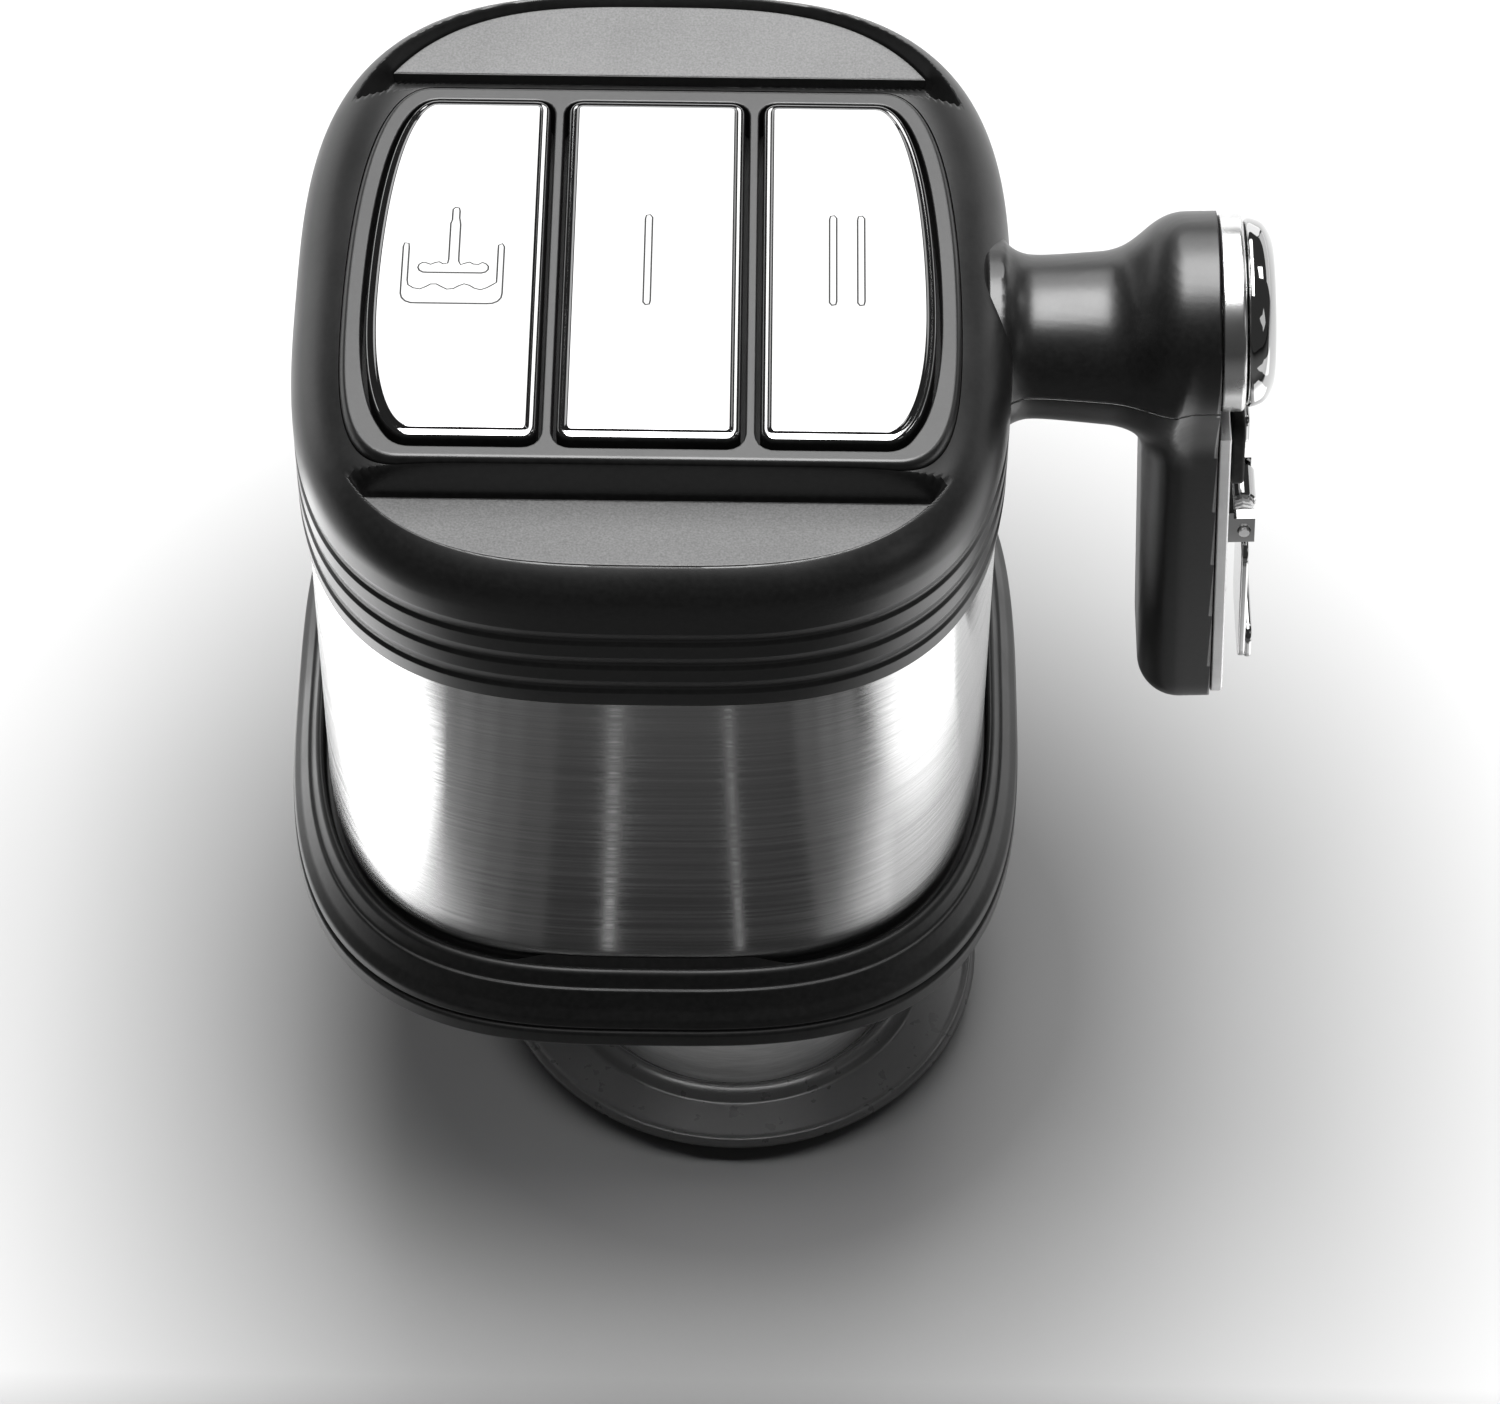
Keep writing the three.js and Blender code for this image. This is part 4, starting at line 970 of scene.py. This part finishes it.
def arm_face():
    """What is on the arm's outer face: fascia, dial, back plate, button, pad and lever."""
    fascia = softened([(4, 0.3), (17.8, 0.3), (17.8, 4.1), (17.3, 4.6), (4, 4.6)], 0.5, 5)
    make("fascia_ring", [turned_on_arm(fascia, 128, wrap=True)], SATIN_CHROME, "body",
         ["arm_fascia"])
    dial = [(0.01, 4.8), *softened([(16.4, 4.8), (17, 5.2), (17, 6.2), (16.1, 8.4), (13.2, 10.0),
                                    (6, 10.2), (0.01, 10.1)], 1.4, 6, False)]
    make("dial_knob", [turned_on_arm(dial, 144)], FINISHES["chrome"], "dial", ["arm_dial"])
    outline = arm_outline(0.8)
    lower = resampled(outline[outline[:, 1] < -18.6], 260)
    make("bar_plate", [arm_plate(lower, 0.3, 2.5, 0.35)], FINISHES["steel"], "body",
         ["back_plate"])
    pad = resampled(rounded_box(-11.5, -36, 11.5, -19, 3), 160)
    make("pad_plate", [arm_plate(pad, 2.8, 5.2, 0.6)], FINISHES["rubber"], "body", ["grip_pad"])
    button = resampled(rounded_box(-5, -31.1, 5, -23.9, 1.6), 96)
    back = resampled(rounded_box(-6.5, -32.6, 6.5, -22.4, 2), 96)
    make("lock_key", [arm_plate(button, -3, 6.4, 0.7), arm_plate(back, -4, -2.2, 0.2)],
         FINISHES["chrome"], "lock_button", ["lock_button"])
    lever()


def lever():
    face = resampled(rounded_box(-9.5, -90, 9.5, -56, 4), 200)
    step = resampled(rounded_box(-9.3, -90, 9.3, -81, 3), 160)
    web = resampled(rounded_box(-1.8, -59, 5.8, -50, 0.6), 60)
    angle = plan_angles(48)

    def ring(radius, y):
        return in_arm(np.column_stack([5.8 + radius * np.cos(angle), np.zeros(48) + y,
                                       -51 + radius * np.sin(angle)]))
    knuckle = lofted([ring(1.3, -1.8), ring(2.3, -1.8), ring(2.6, -1.5), ring(2.6, 5.5), ring(2.3, 5.8),
                      ring(1.3, 5.8)], wrap=True)
    make("lever_paddle", [arm_plate(face, 5.5, 6.9, 0.45), arm_plate(step, 6.7, 8.2, 0.6),
                          arm_plate(web, 5.0, 6.8, 0.2), knuckle],
         FINISHES["chrome"], "trigger_lever", ["trigger_lever"])


# ---- CAD nodes that keep their own shape ----
NODE_EDGE = 0.25  # rounding of the CAD nodes' edges
CREASE = math.radians(40)  # only edges sharper than this are rounded


def dress_cad_nodes():
    """Each CAD node gets its slot's finish and smooth round faces; all but the spring and heater nodes also get
    rounded edges.
    """
    slots = {part["node"]: part["material_slot"] for part in frame["record"]["subparts"]}
    for name, node in frame["nodes"].items():
        node.data.materials.clear()
        node.data.materials.append(FINISHES[slots[name]])
        for face in node.data.polygons:
            face.use_smooth = True
        if node.name.startswith(("key_spring", "lever_spring", "heater")):
            continue
        edge = node.modifiers.new("edges", "BEVEL")
        edge.width = NODE_EDGE * MM
        edge.segments = 2
        edge.limit_method = "ANGLE"
        edge.angle_limit = CREASE
        edge.harden_normals = False
        node.modifiers.new("normals", "WEIGHTED_NORMAL")


# ---- stage, light and camera ----
# Lengths are metres from here on.
FLOOR_DROP = 0.0004  # the floor lies this far below the foot, so that the two don't share a plane
# Painted shadow and painted shade on the floor: its colour darkens to a painted shadow under the object and to
# near-black painted shade in front of it.
SHADOW_TONE, FAR_TONE = 0.17, 0.62  # the floor's tone under the object and away from it,
NEAR, FAR = 0.07, 0.2  # and at what distances from the foot's centre
FRONT_SHADE_TONES = (0.09, 0.02)  # the dark floor in front, from its far end to its near end,
FRONT_END, FRONT_START = -0.3, -0.16  # and where that is
PALE_START, PALE_FULL = -0.14, -0.1  # where the pale floor begins


def floor():
    mesh = bpy.data.meshes.new("floor")
    bm = bmesh.new()
    bmesh.ops.create_grid(bm, x_segments=2, y_segments=2, size=6)
    bmesh.ops.translate(bm, verts=bm.verts, vec=(0, 0, -FLOOR_DROP))
    bm.to_mesh(mesh)
    bm.free()
    plane = bpy.data.objects.new("floor", mesh)
    finish = Finish("floor_paper_painted_shade", 0.5, 0.85, specular=0.1)
    # the floor's colour carries a painted shadow under the object and painted shade in front of it
    floor_painted_shade(finish)
    mesh.materials.append(finish.material)
    bpy.context.scene.collection.objects.link(plane)


def floor_painted_shade(finish):
    """White paper with painted shade: a painted shadow darkens it under the object, and painted shade makes it
    nearly black in front of it, outside the view.
    """
    split = finish.node("ShaderNodeSeparateXYZ")
    finish.link(finish.place, split.inputs["Vector"])
    reach = finish.node("ShaderNodeVectorMath")
    reach.operation = "LENGTH"
    finish.link(finish.place, reach.inputs["Vector"])
    away = finish.ranged(reach.outputs["Value"], SHADOW_TONE, FAR_TONE, NEAR, FAR)
    back = finish.ranged(split.outputs["Y"], 0, 1, PALE_START, PALE_FULL)
    front = finish.ranged(split.outputs["Y"], *FRONT_SHADE_TONES, FRONT_END, FRONT_START)
    lit = finish.node("ShaderNodeMath")
    lit.operation = "MULTIPLY"
    both = finish.node("ShaderNodeMath")
    both.operation = "MAXIMUM"
    finish.link(away, lit.inputs[0])
    finish.link(back, lit.inputs[1])
    finish.link(lit.outputs["Value"], both.inputs[0])
    finish.link(front, both.inputs[1])
    finish.tint(both.outputs["Value"], 0, 1, 0, 1)


def softbox(name, place, size, radiance, target=(0, 0, 0.15)):
    """A rectangular lamp that looks at its target; radiance is what a mirror would show of it."""
    data = bpy.data.lights.new(name, "AREA")
    data.shape = "RECTANGLE"
    data.size, data.size_y = size
    data.energy = radiance * math.pi * size[0] * size[1]
    lamp = bpy.data.objects.new(name, data)
    lamp.location = place
    lamp.visible_camera = False
    lamp.rotation_euler = (Vector(target) - Vector(place)).to_track_quat("-Z", "Y").to_euler()
    bpy.context.scene.collection.objects.link(lamp)


def lights():
    world = bpy.data.worlds.new("studio")
    world.use_nodes = True
    world.node_tree.nodes["Background"].inputs["Color"].default_value = (1, 1, 1, 1)
    world.node_tree.nodes["Background"].inputs["Strength"].default_value = 0.05
    bpy.context.scene.world = world
    softbox("overhead", (0, 0.06, 1.7), (0.8, 1.36), 14)
    softbox("overhead_rear", (0, 1.05, 1.34), (0.8, 0.85), 4.0)
    softbox("backdrop", (0, 1.35, 0.32), (1.4, 0.6), 1.5)
    softbox("backdrop_left", (-1.05, 0.82, 0.3), (1.1, 0.6), 1.2)
    softbox("backdrop_right", (1.05, 0.82, 0.3), (1.1, 0.6), 0.9)
    softbox("under_skirt", (0, -0.062, 0.084), (0.1, 0.012), 11.0, target=(0, -0.045, 0))
    softbox("window_right", (0.98, -0.58, 0.65), (0.35, 0.35), 0.8)
    softbox("window_high", (0.93, 0.3, 1.16), (0.3, 0.3), 4.0)
    floor_glow("glow_left", (-0.235, -0.02), (0.18, 0.26), 2.4)
    floor_glow("glow_right", (0.19, -0.08), (0.1, 0.2), 1.1)
    floor_glow("glow_arm", (0.45, -0.2), (0.26, 0.4), 0.9)
    fading_glow("soft_left", (-0.155, -0.12), 1, 0.12, (0.3, 0.22, 0.14, 0.08, 0.04))
    fading_glow("soft_right", (0.115, -0.135), -1, 0.1, (0.2, 0.14, 0.07))
    floor_glow("strip_left", (-0.029, -0.19), (0.0025, 0.14), 0.55)
    floor_glow("strip_right", (0.012, -0.19), (0.002, 0.14), 0.5)


def floor_glow(name, place, size, radiance):
    """A patch of the floor that lights the object from below."""
    x, y = place
    softbox(name, (x, y, 0.001), size, radiance, target=(x, y, 1))


def fading_glow(name, place, side, length, radiances):
    """A row of narrow glows, each dimmer than the last, that steps in and forward from its place."""
    width, forward = 0.022, 0.014
    x, y = place
    for i, radiance in enumerate(radiances):
        floor_glow(f"{name}_{i}", (x + side * width * i, y - forward * i), (width, length), radiance)


CAMERA_PLACE = (0.00222, -0.65638, 0.93059)
CAMERA_TILT = math.radians(52)  # how far the view looks down
CAMERA_ROLL = math.radians(0.72)
CAMERA_LENS = 129.9  # millimetres, on a sensor 36 mm wide


def camera():
    tilt, roll = CAMERA_TILT, CAMERA_ROLL
    s, c = math.sin(tilt), math.cos(tilt)
    right = Vector((math.cos(roll), s * math.sin(roll), c * math.sin(roll)))
    up = Vector((-math.sin(roll), s * math.cos(roll), c * math.cos(roll)))
    back = Vector((0, -c, s))
    data = bpy.data.cameras.new("camera")
    data.lens = CAMERA_LENS
    data.sensor_width = 36
    data.clip_start = 0.01
    view = bpy.data.objects.new("camera", data)
    turned_view = Matrix((right, up, back)).transposed().to_4x4()
    view.matrix_world = Matrix.Translation(CAMERA_PLACE) @ turned_view
    bpy.context.scene.collection.objects.link(view)
    bpy.context.scene.camera = view


camera()
lights()
floor()
bpy.context.scene.view_settings.view_transform = "Standard"
dress_cad_nodes()
top_cap()
key_panel()
for side, name in ((-1, "left"), (0, "middle"), (1, "right")):
    key(side, name)
pocket_inlay(-1, "front")
pocket_inlay(1, "rear")
steel_band()
base_flange()
foot_ring()
foot_plate()
immersion_sleeve()
arm_shells()
arm_face()

bpy.context.view_layer.update()
